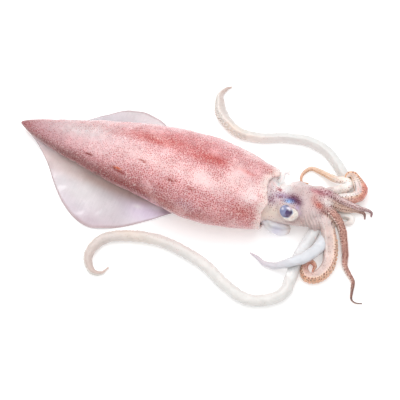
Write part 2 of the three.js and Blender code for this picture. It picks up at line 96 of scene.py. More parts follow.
# Each limb: its route of [x, y, z, radius]; the turn of its sucker side in degrees from the left of
# travel, up being 90; colours of its back, its sucker side and its tip; how thickly it is dotted on
# the back at the base and tip; its suckers from one share of the length to another, how many pairs
# and how large a share of the radius; and how far the two skin folds beside them stand out. Some
# have dots on the sucker side, a colour of their own on the folds, rows of dark beads or painted
# highlight streaks at degrees round from the top, and the length over which the head's colour gives way.
LIMBS = {
    "tentacle_right": dict(
        route=[
            [251, 9, 9.5, 3.8], [255.5, 0, 8.5, 4.5], [254.5, -13, 6.2, 4.8], [252, -30, 4.5, 4.7],
            [253, -46, 4.5, 4.7], [253, -60, 4.5, 4.7], [244, -71, 4.4, 4.5], [228, -77, 4.3, 4.4],
            [209, -72, 4.4, 4.5], [190, -63, 4.4, 4.5], [168, -57.5, 4.2, 4.4], [145, -56, 4.2, 4.3],
            [124, -61, 4.2, 4.3], [107, -70, 4, 4.1], [101, -82, 3.8, 3.9], [102, -93, 3.2, 3.3],
            [109, -100, 2.4, 2.4], [116, -98.5, 1.6, 1.5], [119, -92, 1, 0.7],
        ],
        oral=195, back=(224, 221, 218), front=(232, 228, 222), tip=(198, 178, 170), dots=(0, 0.1),
        suckers=(0.7, 0.97, 26, 0.3), folds=0.12,
    ),
    "tentacle_left": dict(
        route=[
            [250, 19, 6, 3.4], [256, 22.5, 4.5, 3.8], [263, 29, 4.2, 4.1], [269, 40, 4.2, 4.2],
            [266, 49, 4.2, 4.3], [256, 59, 4.3, 4.4], [240, 71, 4.3, 4.4], [222, 75, 4.2, 4.2],
            [203, 71, 4, 4], [184, 63, 4, 4], [167, 61, 4.2, 4.2], [153, 67, 4.4, 4.7],
            [145, 74, 4.4, 4.8], [140, 84, 3.6, 3.6], [138, 91, 2.6, 2.4], [140, 98, 1.8, 1.5],
            [143, 102, 1, 0.7],
        ],
        oral=20, back=(222, 221, 219), front=(232, 228, 222), tip=(202, 182, 174), dots=(0, 0.1),
        suckers=(0.6, 0.96, 24, 0.3), folds=0.12,
    ),
    "arm_right_4": dict(
        route=[
            [251, 11, 8.5, 3.6], [260, 6, 8, 4], [265.5, -5, 8.6, 4.5], [264.5, -17, 9.6, 4.6],
            [259.5, -28, 12, 4.5], [253, -35, 12.4, 4], [246, -39.5, 9.4, 3.4], [238, -42, 4.6, 2.8],
            [229, -42, 2.2, 1.9], [223, -39, 1.5, 1.3], [216, -37, 0.9, 0.6],
        ],
        oral=215, back=(216, 218, 223), front=(224, 217, 213), tip=(208, 198, 206), dots=(0, 0),
        suckers=(0.2, 0.9, 22, 0.26), folds=0.12,
    ),
    "arm_right_3": dict(
        route=[
            [251, 12, 15, 4], [258, 7, 16, 4.9], [266, 0, 13.5, 5.7], [271.5, -9, 9.5, 5.9],
            [275.5, -19, 6.6, 5.6], [276, -29, 5.2, 5.2], [272, -38, 4.4, 4.5], [265, -41, 4, 4],
            [260, -36, 3.6, 3.5], [259, -30, 3.2, 2.9], [262, -26.5, 2.8, 2.3],
            [266.5, -28.5, 2.2, 1.6], [266.5, -33, 1.4, 0.9],
        ],
        oral=14, back=(214, 192, 186), front=(240, 184, 150), tip=(232, 170, 144), dots=(0.1, 0.45),
        suckers=(0.24, 0.97, 30, 0.25), folds=0.19, front_dots=0.36, fold_tone=(250, 222, 202),
        beads=((-32, 0.8), (-70, 0.7)), highlight_streaks=((40, 0.55),), root=(5, 22),
    ),
    "arm_right_2": dict(
        route=[
            [251, 15, 19.5, 3.6], [258, 13, 20, 4], [268, 9.5, 17, 4], [275, 5, 12, 3.5],
            [280, -2, 7.5, 3.1], [284.5, -11, 3.8, 2.7], [287.5, -19, 2.4, 2.3], [292, -24.5, 2, 2],
            [298, -30, 1.7, 1.7], [300, -37, 1.3, 1.3], [302, -44, 0.9, 0.9], [306, -46, 0.7, 0.6],
            [311, -44.5, 0.5, 0.4],
        ],
        oral=190, back=(214, 170, 156), front=(216, 190, 176), tip=(100, 60, 48), dots=(0.75, 0.8),
        suckers=(0.12, 0.85, 26, 0.24), folds=0.18,
        beads=((60, 1.0), (32, 0.7), (-40, 1.0)), highlight_streaks=((46, 0.5),), root=(1, 9),
    ),
    "arm_right_1": dict(
        route=[
            [252, 19, 22, 3.4], [259, 18.5, 21, 3.4], [267, 20.5, 15, 2.9], [274, 25, 8.8, 2.4],
            [281, 29.5, 4, 1.8], [286, 30, 2, 1.2], [288, 26.5, 0.9, 0.6],
        ],
        oral=262, back=(214, 182, 166), front=(218, 194, 178), tip=(140, 110, 106), dots=(0.45, 0.5),
        suckers=(0.15, 0.9, 16, 0.24), folds=0.14, beads=((4, 1.1), (54, 1.1)), root=(3, 12),
    ),
    "arm_left_1": dict(
        route=[
            [251, 25, 20, 3.4], [258, 25.5, 20, 3.5], [265, 26, 17, 3.1], [273, 28, 12, 2.5],
            [281, 30.5, 7, 1.9], [287, 33, 3.6, 1.4], [291, 33, 2.4, 1.1], [292, 30, 1.6, 0.6],
        ],
        oral=270, back=(218, 190, 190), front=(216, 192, 182), tip=(136, 106, 110), dots=(0.5, 0.5),
        suckers=(0.15, 0.9, 16, 0.24), folds=0.14,
        beads=((-36, 1.1), (46, 1.1)), highlight_streaks=((10, 0.5),), root=(0, 7),
    ),
    "arm_left_4": dict(
        route=[
            [251, 13.5, 5, 3], [257, 15, 3.8, 3.3], [265, 19, 3.6, 3.6], [273, 22, 3.2, 3.3],
            [278, 21.5, 2.7, 2.8], [278.5, 18, 2.2, 2.3], [273.5, 15.5, 1.7, 1.8],
            [267, 14.5, 1.1, 1.1],
        ],
        oral=180, back=(246, 243, 239), front=(238, 232, 226), tip=(226, 214, 210), dots=(0, 0),
        suckers=(0.2, 0.9, 16, 0.24), folds=0.12,
    ),
    "arm_left_3": dict(
        route=[
            [251, 23, 9, 3.4], [256, 26, 10, 3.6], [262, 29, 12, 3.8], [269, 32, 12.4, 3.8],
            [274.5, 36, 10.5, 4.4], [277.6, 42, 7.5, 5.2], [276, 48, 6.6, 5.2], [272.6, 52, 7.2, 4.4],
            [268, 55, 9.6, 3.4], [264.5, 54.8, 10.8, 2.6], [262.8, 52.2, 10.6, 1.8],
            [263, 49.8, 10.2, 1.1],
        ],
        oral=58, back=(222, 160, 140), front=(255, 244, 240), tip=(236, 184, 142), dots=(0.4, 0.4),
        suckers=(0.2, 0.9, 24, 0.16), folds=0.14, fold_tone=(238, 190, 150), front_dots=0.1,
        beads=((14, 0.75), (46, 0.6)), highlight_streaks=((-14, 0.4), (-70, 0.5)), root=(4, 16),
    ),
    "arm_left_2": dict(
        route=[
            [251, 27, 14, 3.4], [256, 30.5, 15, 3.5], [261, 36, 14, 3.4], [266, 41.5, 12.6, 3.2],
            [266.5, 46, 12.2, 3], [262, 47, 12, 3], [256, 46.5, 10, 2.9], [248, 49.5, 6, 2.5],
            [240, 52.5, 2.8, 2.1], [233, 53, 1.9, 1.8], [229, 48.5, 1.5, 1.5], [228, 43, 1.2, 1.1],
            [230, 39, 0.9, 0.8], [235, 39.5, 0.7, 0.5],
        ],
        oral=250, back=(226, 192, 158), front=(216, 176, 140), tip=(206, 160, 134), dots=(0.1, 0.15),
        suckers=(0.2, 0.9, 22, 0.24), folds=0.16, beads=((-55, 0.6), (48, 0.5)),
        highlight_streaks=((10, 0.8), (-34, 0.5)),
        root=(5, 16),
    ),
}
HEAD_TONE = (215, 194, 193)
PALE_LIMBS = ("tentacle_right", "tentacle_left", "arm_right_4", "arm_left_4")

eye_low, eye_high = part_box("eye_right")
ORIGIN = np.array(RIGHT_EYE[0]) - np.array((eye_low + eye_high) / 2) * 1000


# ---------------------------------------------------------------- helpers

def place(points):
    """Working millimetres as metres in the part's own frame."""
    return (np.asarray(points, float) - ORIGIN) / 1000


def linear(colour):
    value = np.array(colour, float) / 255
    return np.where(value <= 0.04045, value / 12.92, ((value + 0.055) / 1.055) ** 2.4)


def unit(vectors):
    return vectors / np.linalg.norm(vectors, axis=-1, keepdims=True)


def gaussian(value, middle, width):
    return np.exp(-(((value - middle) / width) ** 2))


def smoothstep(value, start, end):
    share = np.clip((value - start) / (end - start), 0, 1)
    return share * share * (3 - 2 * share)


def lerp(a, b, share):
    return a + (b - a) * share


def spline(rows, u):
    """The CAD's own spline through rows of values, read at shares u of its length."""
    rows = np.array(rows, float)
    padded = np.vstack([2 * rows[0] - rows[1], rows, 2 * rows[-1] - rows[-2]])
    t = np.clip(np.atleast_1d(u), 0, 1) * (len(rows) - 1)
    i = np.minimum(t.astype(int), len(rows) - 2)
    f = (t - i)[:, None]
    before, start, end, after = padded[i], padded[i + 1], padded[i + 2], padded[i + 3]
    slope_in, slope_out = (end - before) / 2, (after - start) / 2
    return (
        (2 * f**3 - 3 * f**2 + 1) * start + (f**3 - 2 * f**2 + f) * slope_in
        + (3 * f**2 - 2 * f**3) * end + (f**3 - f**2) * slope_out
    )


def ripple(points, wavelength, seed):
    """A smooth random field over points, mostly within -1 and 1, the same on every run."""
    random = np.random.default_rng(seed)
    total = np.zeros(points.shape[:-1])
    for _ in range(RIPPLE_WAVES):
        direction = unit(random.normal(size=3))
        length = wavelength * random.uniform(0.7, 1.5)
        total += np.sin(points @ direction * TAU / length + random.uniform(0, TAU))
    return total / math.sqrt(RIPPLE_WAVES)


def frames(route, count, end=1.0):
    """Points, half sizes and the left, up and forward directions along a route, up to a share of it."""
    u = np.linspace(0, end, count)
    rows = spline(route, u)
    step = 0.5 / count
    forward = unit(spline(route, u + step)[:, :3] - spline(route, u - step)[:, :3])
    left = unit(np.cross(UP, forward))
    return rows, left, np.cross(forward, left), forward


def lengths_along(rows):
    """How far along its route each row lies."""
    steps = np.linalg.norm(np.diff(rows[:, :3], axis=0), axis=1)
    return np.concatenate([[0], np.cumsum(steps)])


def ring_angles(sides):
    """Angles of a ring's points, from its left and on upwards."""
    return np.arange(sides) / sides * TAU


def loops(rows, left, up, wide, high):
    """Rings of points round each row, reaching wide to the left and high upwards."""
    return rows[:, None, :3] + left[:, None] * wide[..., None] + up[:, None] * high[..., None]


def swollen(rings, amount):
    """Rings pushed out from their own middles by an amount at each point."""
    return rings + unit(rings - rings.mean(1, keepdims=True)) * amount[..., None]


def grid_faces(rows, columns):
    """Quads between rings of points, wound to face outwards from a ring that turns left to up."""
    i, j = np.meshgrid(np.arange(rows - 1), np.arange(columns), indexing="ij")
    after = (j + 1) % columns
    quads = [i * columns + j, i * columns + after, (i + 1) * columns + after, (i + 1) * columns + j]
    return np.stack(quads, -1).reshape(-1, 4).tolist()


def closed_rings(rings):
    """Points and faces of rings skinned along their length, each end closed on its middle."""
    rows, columns = rings.shape[:2]
    points = np.vstack([rings.reshape(-1, 3), rings[0].mean(0), rings[-1].mean(0)])
    faces = grid_faces(rows, columns)
    first, last = rows * columns, rows * columns + 1
    ring_start = (rows - 1) * columns
    for j in range(columns):
        after = (j + 1) % columns
        faces.append([first, after, j])
        faces.append([last, ring_start + j, ring_start + after])
    return points, faces


def joined(parts):
    """Points and faces of several meshes as one."""
    points, faces, total = [], [], 0
    for part_points, part_faces in parts:
        points.append(part_points)
        faces += [[i + total for i in face] for face in part_faces]
        total += len(part_points)
    return np.vstack(points), faces


def make_object(name, points, faces):
    mesh = bpy.data.meshes.new(name)
    mesh.from_pydata(place(points).tolist(), [], faces)
    mesh.validate()
    mesh.shade_smooth()
    piece = bpy.data.objects.new(name, mesh)
    bpy.context.scene.collection.objects.link(piece)
    return piece


def paint(piece, tone, **values):
    """Stores the colour, and any number, of every point of a piece for its material to read."""
    mesh = piece.data
    tone = np.clip(tone, 0, 1)
    colours = np.ones((len(tone), 4), np.float32)
    colours[:, :3] = tone
    mesh.attributes.new("tone", "FLOAT_COLOR", "POINT").data.foreach_set("color", colours.ravel())
    for key, value in values.items():
        if value.ndim > 1:
            flat = np.column_stack([value, np.zeros(len(value))]).astype(np.float32).ravel()
            mesh.attributes.new(key, "FLOAT_VECTOR", "POINT").data.foreach_set("vector", flat)
        else:
            mesh.attributes.new(key, "FLOAT", "POINT").data.foreach_set("value", value.astype(np.float32))


def blend_spots(values, positions, spots):
    """Mixes soft spots into values, each given by its centre, its reaches, its value and its strength."""
    for centre, reach, value, strength in spots:
        distance = (((positions - np.array(centre)) / np.array(reach)) ** 2).sum(-1)
        share = strength * np.exp(-distance)
        if values.ndim > 1:
            share = share[:, None]
            value = linear(value)
        values = lerp(values, value, share)
    return values


def plain_tone(points, colour):
    return np.tile(linear(colour), (len(points), 1))


def tinted(tone, colour, share):
    """A tone mixed towards a colour by each point's share."""
    return lerp(tone, linear(colour), share[:, None])


def finish_piece(piece, material, slot, *nodes):
    piece.data.materials.append(material)
    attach(piece, "root")
    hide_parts(*nodes)


# ---------------------------------------------------------------- materials

FLESH_IOR = 1.38
FILM_IOR = 1.36


class Tree:
    """A short way to write a material's nodes."""

    def __init__(self, name):
        self.material = bpy.data.materials.new(name)
        self.material.use_nodes = True
        self.tree = self.material.node_tree
        self.tree.nodes.clear()
        self.output = self.add("OutputMaterial")

    def add(self, kind, inputs=(), **settings):
        made = self.tree.nodes.new("ShaderNode" + kind)
        for key, value in settings.items():
            setattr(made, key, value)
        for key, value in dict(inputs).items():
            if isinstance(value, bpy.types.NodeSocket):
                self.tree.links.new(value, made.inputs[key])
            else:
                made.inputs[key].default_value = value
        return made

    def attribute(self, name, output="Fac"):
        return self.add("Attribute", attribute_name=name).outputs[output]

    def math(self, operation, a, b=0.0, c=0.0):
        return self.add("Math", {0: a, 1: b, 2: c}, operation=operation).outputs[0]

    def times(self, a, b):
        return self.math("MULTIPLY", a, b)

    def scaled(self, vector, scale):
        return self.add("VectorMath", {0: vector, "Scale": scale}, operation="SCALE").outputs[0]

    def span(self, value, low, high, to_low=0.0, to_high=1.0):
        inputs = {0: value, 1: low, 2: high, 3: to_low, 4: to_high}
        return self.add("MapRange", inputs, interpolation_type="SMOOTHSTEP").outputs[0]

    def mix(self, share, a, b, blend="MIX"):
        inputs = {0: share, 6: a, 7: b}
        return self.add("Mix", inputs, data_type="RGBA", blend_type=blend).outputs[2]

    def noise(self, vector, wavelength, detail=3.0, output="Fac"):
        inputs = {"Vector": vector, "Scale": 1000 / wavelength, "Detail": detail}
        return self.add("TexNoise", inputs).outputs[output]

    def bump(self, strength, distance, height):
        inputs = {"Strength": strength, "Distance": distance, "Height": height}
        return self.add("Bump", inputs).outputs[0]

    def wet_flesh(self, colour, gloss, bump, subsurface, coat, ior=FLESH_IOR, film_ior=FILM_IOR):
        """Ends the material: subsurface is its weight, radius and scale, coat its weight and roughness."""
        shader = self.add("BsdfPrincipled", {
            "Base Color": colour, "Roughness": gloss, "IOR": ior, "Normal": bump,
            "Subsurface Weight": subsurface[0], "Subsurface Radius": subsurface[1],
            "Subsurface Scale": subsurface[2], "Coat Weight": coat[0], "Coat Roughness": coat[1],
            "Coat IOR": film_ior,
        })
        self.tree.links.new(shader.outputs[0], self.output.inputs[0])
        return self.material


def rgba(colour):
    return (*linear(colour), 1.0)


def skin(
    name, dot_colour, dot_size, fine_size, dot_strength, fine_strength, subsurface, radius,
    rough=(0.3, 0.46), coat=0.5, relief=0.35, bead_step=1.7, bead_colour=(158, 98, 88), granules=0.0,
    mottling=(0.9, 1.06),
):
    """Wet skin: painted tone, colour cells of two sizes that thicken where it is dotted, and a clear film."""
    t = Tree(name)
    here = t.add("TexCoord").outputs["Object"]
    flow = t.attribute("flow", "Vector")
    density = t.attribute("dots")
    waver = t.noise(here, 2.2, 2.0, "Color")
    waver = t.add("VectorMath", {0: waver, 1: (0.5, 0.5, 0.5)}, operation="SUBTRACT").outputs[0]
    cells_at = t.add("VectorMath", {0: flow, 1: t.scaled(waver, 0.7)}, operation="ADD").outputs[0]

    def cells(size, smallest, largest, strength):
        voronoi = t.add(
            "TexVoronoi", {"Vector": cells_at, "Scale": 1 / size, "Randomness": 0.8},
            voronoi_dimensions="2D")
        chance = t.add("SeparateColor", {0: voronoi.outputs["Color"]}).outputs[0]
        there = t.span(t.math("SUBTRACT", t.times(density, 1.25), chance), -0.04, 0.04)
        cell_radius = t.span(density, 0.0, 1.0, smallest, largest)
        edge = t.math("SUBTRACT", cell_radius, voronoi.outputs["Distance"])
        return t.times(t.times(t.span(edge, -0.1, 0.1), there), strength)

    large = cells(dot_size, 0.16, 0.32, dot_strength)
    dots = t.math("MAXIMUM", large, cells(fine_size, 0.2, 0.42, fine_strength))
    along, around, _ = t.add("SeparateXYZ", {0: cells_at}).outputs
    turn = t.math("MULTIPLY_ADD", around, 0.6, t.times(along, TAU / bead_step))
    turn = t.math("MULTIPLY_ADD", t.noise(here, 5.0, 2.0), 9.0, turn)
    patchiness = t.span(t.noise(here, 3.6, 2.0), 0.35, 0.62, 0.5, 1.1)
    row_strength = t.times(t.attribute("rows"), patchiness)
    beads = t.math("MULTIPLY_ADD", t.math("SINE", turn), 0.5, row_strength)
    beads = t.times(t.span(beads, 0.62, 0.95), 0.85)
    mottle = t.span(t.noise(here, 7.0, 4.0), 0.25, 0.75, *mottling)
    grains = t.times(t.span(t.noise(here, 1.5, 2.0), 0.5, 0.66), granules)
    pale = t.times(grains, t.math("POWER", density, 2.0))
    colour = t.mix(pale, t.scaled(t.attribute("tone", "Color"), mottle), rgba((255, 236, 230)))
    colour = t.mix(dots, colour, rgba(dot_colour), "MULTIPLY")
    colour = t.mix(beads, colour, rgba(bead_colour), "MULTIPLY")
    height = t.math("MULTIPLY_ADD", t.noise(here, 4.5, 3.0), 1.6, t.noise(here, 0.9, 4.0))
    height = t.math("MULTIPLY_ADD", dots, -0.35, height)
    gloss = t.span(t.noise(here, 3.0, 3.0), 0.3, 0.7, *rough)
    return t.wet_flesh(
        colour, gloss, t.bump(relief, 0.00025, height), (subsurface, radius, 0.0035), (coat, 0.16))


def fin_material():
    """Thin milky flesh with fine muscle lines across it, greyer towards its edge."""
    t = Tree("fin_skin")
    here = t.add("TexCoord").outputs["Object"]
    lines_at = t.add("CombineXYZ", {0: t.attribute("along"), 1: t.times(t.attribute("across"), 0.06)})
    line_inputs = {"Vector": lines_at.outputs[0], "Scale": 1.1, "Detail": 3.0}
    lines = t.add("TexNoise", line_inputs).outputs["Fac"]
    cloud = t.noise(here, 14.0, 4.0)
    shade = t.times(t.span(lines, 0.3, 0.7, 0.965, 1.02), t.span(cloud, 0.3, 0.7, 0.95, 1.03))
    height = t.math("MULTIPLY_ADD", t.noise(here, 1.4, 4.0), 0.5, lines)
    gloss = t.span(t.noise(here, 6.0, 3.0), 0.3, 0.7, 0.22, 0.42)
    return t.wet_flesh(
        t.scaled(t.attribute("tone", "Color"), shade), gloss, t.bump(0.25, 0.0002, height),
        (0.5, (1.0, 0.8, 0.85), 0.004), (0.5, 0.14))


def eye_material():
    """A wet eyeball: painted rings of pupil, halo and white, clouded and veined, under a clear film."""
    t = Tree("eyeball")
    here = t.add("TexCoord").outputs["Object"]
    cloud = t.span(t.noise(here, 3.0, 4.0), 0.3, 0.7, 0.86, 1.08)
    colour = t.scaled(t.attribute("tone", "Color"), cloud)
    veins = t.add("TexVoronoi", {"Vector": here, "Scale": 420.0}, feature="DISTANCE_TO_EDGE")
    vein = t.times(t.span(veins.outputs[0], 0.06, 0.0), t.attribute("dots"))
    colour = t.mix(vein, colour, rgba((190, 120, 140)), "MULTIPLY")
    gloss = t.span(t.noise(here, 2.0, 2.0), 0.3, 0.7, 0.12, 0.3)
    return t.wet_flesh(
        colour, gloss, t.bump(0.12, 0.0002, t.noise(here, 1.2, 3.0)),
        (0.15, (0.8, 0.6, 0.7), 0.002), (1.0, 0.04), ior=1.4, film_ior=1.4)


MANTLE_SKIN = skin(
    "mantle_skin", (190, 86, 84), 1.45, 0.85, 0.85, 0.4, 0.2, (1.0, 0.35, 0.3), relief=0.7,
    rough=(0.2, 0.44), granules=0.5)
HEAD_SKIN = skin(
    "head_skin", (150, 70, 92), 1.6, 0.9, 0.85, 0.45, 0.25, (1.0, 0.55, 0.5), relief=0.4,
    bead_colour=(140, 78, 84))
ARM_SKIN = skin(
    "arm_skin", (144, 80, 64), 1.5, 0.85, 0.85, 0.5, 0.25, (1.0, 0.5, 0.4), relief=0.5,
    bead_step=2.1, bead_colour=(146, 88, 74))
PALE_FLESH = skin(
    "pale_flesh", (190, 150, 140), 1.5, 0.8, 0.6, 0.3, 0.35, (1.0, 0.85, 0.82), relief=0.3, coat=0.6,
    mottling=(0.97, 1.02))
FIN_SKIN = fin_material()
EYEBALL = eye_material()


# ---------------------------------------------------------------- mantle

MANTLE_SIDES = 200


def soft_floor(height, least, softness=0.4):
    """Keeps heights above a least one, with a soft corner instead of a crease."""
    over = height - least
    return least + (over + np.sqrt(over**2 + softness**2)) / 2 - softness / 2 + 0.02


def rim_offset(degrees):
    """How far forward the mantle's rim reaches, by degrees round from its top."""
    table = np.array(RIM_SHAPE, float)
    wrapped = degrees % 360
    i = np.clip(np.searchsorted(table[:, 0], wrapped, side="right") - 1, 0, len(table) - 2)
    share = smoothstep(wrapped, table[i, 0], table[i + 1, 0])
    return lerp(table[i, 1], table[i + 1, 1], share)


def mantle_rings(u, inset, forward=0.0):
    """Rings of the mantle at shares u, drawn in by inset, the rim's own waves included."""
    rows = spline(MANTLE_STATIONS, u)
    angle = ring_angles(MANTLE_SIDES)
    share = smoothstep(rows[:, 0], RIM_BLEND_START, MANTLE_STATIONS[-1][0])
    x = rows[:, 0, None] + share[:, None] * rim_offset(90 - np.degrees(angle))[None] + forward
    y = rows[:, 1, None] + (rows[:, 3] - inset)[:, None] * np.cos(angle)
    z = rows[:, 2, None] + (rows[:, 4] - inset)[:, None] * np.sin(angle)
    return np.stack([x, y, soft_floor(z, inset)], -1)


def mantle_share(x):
    """The share of the mantle's spline at which each x lies."""
    u = np.linspace(0, 1, 2001)
    return np.interp(x, spline(MANTLE_STATIONS, u)[:, 0], u)


# Spots on the mantle: [x, degrees from the top towards the left], reach on both, colour, strength. Some are
# painted sheen and shade, as marked.
MANTLE_SPOTS = [
    ([4, 0], [15, 400], (166, 94, 98), 0.9),
    ([28, -10], [22, 90], (180, 138, 144), 0.8),
    # Painted sheen: a pale greyish patch on the upper left.
    ([62, 8], [32, 34], (214, 205, 206), 0.85),
    ([60, 44], [30, 26], (206, 176, 176), 0.4),
    # Painted sheen, running on along the top.
    ([95, -5], [26, 30], (230, 198, 200), 0.6),
    ([76, -42], [16, 12], (236, 204, 206), 0.6),
    ([118, -28], [30, 18], (242, 208, 206), 0.55),
    ([165, -30], [34, 18], (246, 212, 210), 0.6),
    ([192, -14], [16, 22], (244, 212, 210), 0.7),
    ([196, 40], [20, 30], (230, 184, 184), 0.5),
    ([128, 18], [38, 18], (208, 112, 108), 0.72),
    ([168, 8], [13, 11], (196, 66, 58), 0.95),
    ([159, 3], [10, 9], (206, 96, 90), 0.6),
    ([195, 10], [11, 4], (214, 104, 92), 0.45),
    ([120, 12], [18, 9], (206, 96, 88), 0.6),
    # The next three darken the mantle's lower near edge: painted shade.
    ([40, -82], [60, 20], (120, 56, 54), 0.9),
    ([105, -84], [55, 15], (146, 54, 48), 0.92),
    ([165, -84], [40, 11], (190, 112, 104), 0.5),
    ([190, -66], [22, 12], (240, 186, 188), 0.6),
    # Painted shade at the rim's lower corner.
    ([203, -62], [9, 14], (196, 104, 92), 0.6),
    ([160, -74], [8, 8], (176, 168, 186), 0.35),
    ([205, -34], [6, 16], (248, 232, 230), 0.6),
    ([212, -10], [6, 30], (250, 236, 234), 0.7),
    ([70.2, -55], [4.4, 2.2], (130, 34, 16), 1),
    ([95.5, -62.4], [4, 3], (132, 28, 6), 1),
    ([101, -65], [4, 2.6], (150, 34, 8), 1),
    ([98, -60], [3, 1.6], (236, 120, 46), 0.9),
    ([115, -34], [3.6, 1.6], (164, 60, 42), 0.95),
    ([118, -36], [1.6, 1], (170, 70, 54), 0.9),
    ([143, -48], [3.4, 1.7], (158, 52, 36), 1),
    ([147, -46], [1.6, 1.1], (176, 70, 50), 0.9),
    ([161, -49], [2.8, 1.7], (160, 56, 40), 1),
    ([137, -62], [4, 1.6], (170, 60, 46), 0.7),
    ([128, -60], [2.4, 1.4], (170, 60, 46), 0.7),
    # Painted contact shadow along the mantle's edge over the fin.
    ([80, -96], [4, 6], (90, 40, 34), 0.8),
    # A brownish lip under the rim's far lobe: painted shade of the fold beneath it.
    ([213, 36], [5, 12], (214, 176, 164), 0.6),
]
MANTLE_DOTS = [
    # Fewer dots at the upper left, where the painted sheen washes them out.
    ([50, 0], [60, 66], 0.26, 0.9),
    ([200, -16], [14, 34], 0.3, 0.8),
    ([165, -30], [30, 16], 0.45, 0.6),
    ([168, 8], [22, 14], 1.0, 0.8),
    ([120, 18], [40, 16], 0.95, 0.7),
    ([160, -70], [64, 24], 1.0, 0.8),
    ([6, 0], [12, 400], 0.9, 0.8),
]


def make_mantle():
    """The body tube: its outside, the rounded rim, and the recess that the neck goes into."""
    outer_u = np.concatenate([np.linspace(0, 0.06, 26)[:-1], np.linspace(0.06, 1, 300)])
    outer = mantle_rings(outer_u, 0.0)
    rounding = WALL / 2
    lip_rings = [
        mantle_rings([1.0], rounding * (1 - math.cos(a)), rounding * math.sin(a) * 0.9)
        for a in np.linspace(0, math.pi, 11)[1:-1]
    ]
    floor_u = mantle_share(MANTLE_STATIONS[-1][0] - RECESS_DEPTH)
    inner = mantle_rings(np.linspace(1, floor_u, 36), WALL)
    middle = inner[-1].mean(0)
    floor = np.stack([lerp(inner[-1], middle + [share, 0, 0], share) for share in (0.3, 0.6, 0.85, 0.97)])
    rings = np.vstack([outer, *lip_rings, inner, floor])
    calm = smoothstep(rings[..., 0], 0, 30) * (1 - smoothstep(-rings[..., 2], -3, -0.5))
    rings = swollen(rings, (0.32 * ripple(rings, 30, 1) + 0.16 * ripple(rings, 10, 2)) * calm)
    rings[..., 2] = np.maximum(rings[..., 2], 0.02)
    points, faces = closed_rings(rings)
    along = points[:, 0]
    middle = spline(MANTLE_STATIONS, mantle_share(np.clip(along, 0, MANTLE_STATIONS[-1][0])))
    degrees = np.degrees(np.arctan2(points[:, 1] - middle[:, 1], points[:, 2] - middle[:, 2]))
    where = np.stack([along, degrees], -1)
    tone = blend_spots(plain_tone(points, (231, 181, 185)), where, MANTLE_SPOTS)
    unrolled = np.stack([along, degrees * 0.5, 0 * degrees], -1)
    blotches = ripple(unrolled, 17, 4) * smoothstep(along, 60, 130)
    tone = tinted(tone, (252, 226, 224), 0.26 * smoothstep(blotches, 0.3, 1.5))
    tone = tinted(tone, (212, 122, 120), 0.16 * smoothstep(-blotches, 0.5, 1.6))
    rim = smoothstep(along - rim_offset(degrees), 206, 212.5)
    tone = tinted(tone, (240, 220, 214), rim * 0.8)
    under = smoothstep(np.abs(degrees), 92, 130)
    tone = tinted(tone, (232, 206, 200), under * 0.8)
    dots = blend_spots(np.full(len(points), 0.7), where, MANTLE_DOTS)
    dots = dots - 0.14 * blotches + 0.12 * ripple(points, 16, 3) - under * 0.5 - 0.5 * rim
    inside = np.zeros(len(points))
    inside[(len(outer) + 4) * MANTLE_SIDES:] = 1
    inside[-2] = 0
    tone = tinted(tone, (226, 196, 190), inside)
    # The inside darkens towards the recess floor: painted shade in the recess.
    tone = tinted(tone, (170, 120, 110), inside * smoothstep(-along, -210, -196))
    dots = np.clip(dots, 0, 1) * (1 - 0.85 * inside)
    flow = np.stack([along, np.radians(degrees) * (middle[:, 3] + middle[:, 4]) / 2], -1)
    piece = make_object("mantle_skin_tube", points, faces)
    paint(piece, tone, dots=dots, flow=flow)
    finish_piece(piece, MANTLE_SKIN, "mantle_skin", "mantle")


# ---------------------------------------------------------------- fins

FIN_ROWS = 220
FIN_COLUMNS = 64
RIGHT_FIN_SPOTS = [
    ([88, -62, 1], [34, 9, 20], (188, 168, 178), 0.6),
    ([30, -20, 4], [26, 14, 20], (222, 206, 210), 0.6),
    ([62, -50, 2], [20, 12, 20], (214, 200, 214), 0.5),
    # Painted sheen: a pale bluish wet patch at the fin's front.
    ([128, -36, 3], [18, 10, 20], (240, 230, 252), 0.9),
    # The next two are painted glints on that wet patch.
    ([118, -34, 3], [3.4, 1.6, 20], (246, 246, 250), 0.8),
    ([131.5, -30, 3], [5, 1.8, 20], (240, 240, 252), 0.8),
    # Painted shade where the fin passes under the mantle's edge.
    ([141, -29.6, 3], [4.6, 2.6, 20], (160, 146, 168), 0.7),
    ([72, -38, 3], [26, 14, 20], (212, 208, 209), 0.8),
    # The next two run along the fin's root: its beige flesh with painted contact shade from the mantle's edge
    # over it.
    ([60, -18, 4], [60, 7, 20], (206, 186, 176), 0.55),
    ([95, -26, 4], [50, 5, 20], (196, 166, 152), 0.6),
]
LEFT_FIN_SPOTS = [([95, 46, 1], [30, 8, 20], (224, 212, 212), 0.5)]


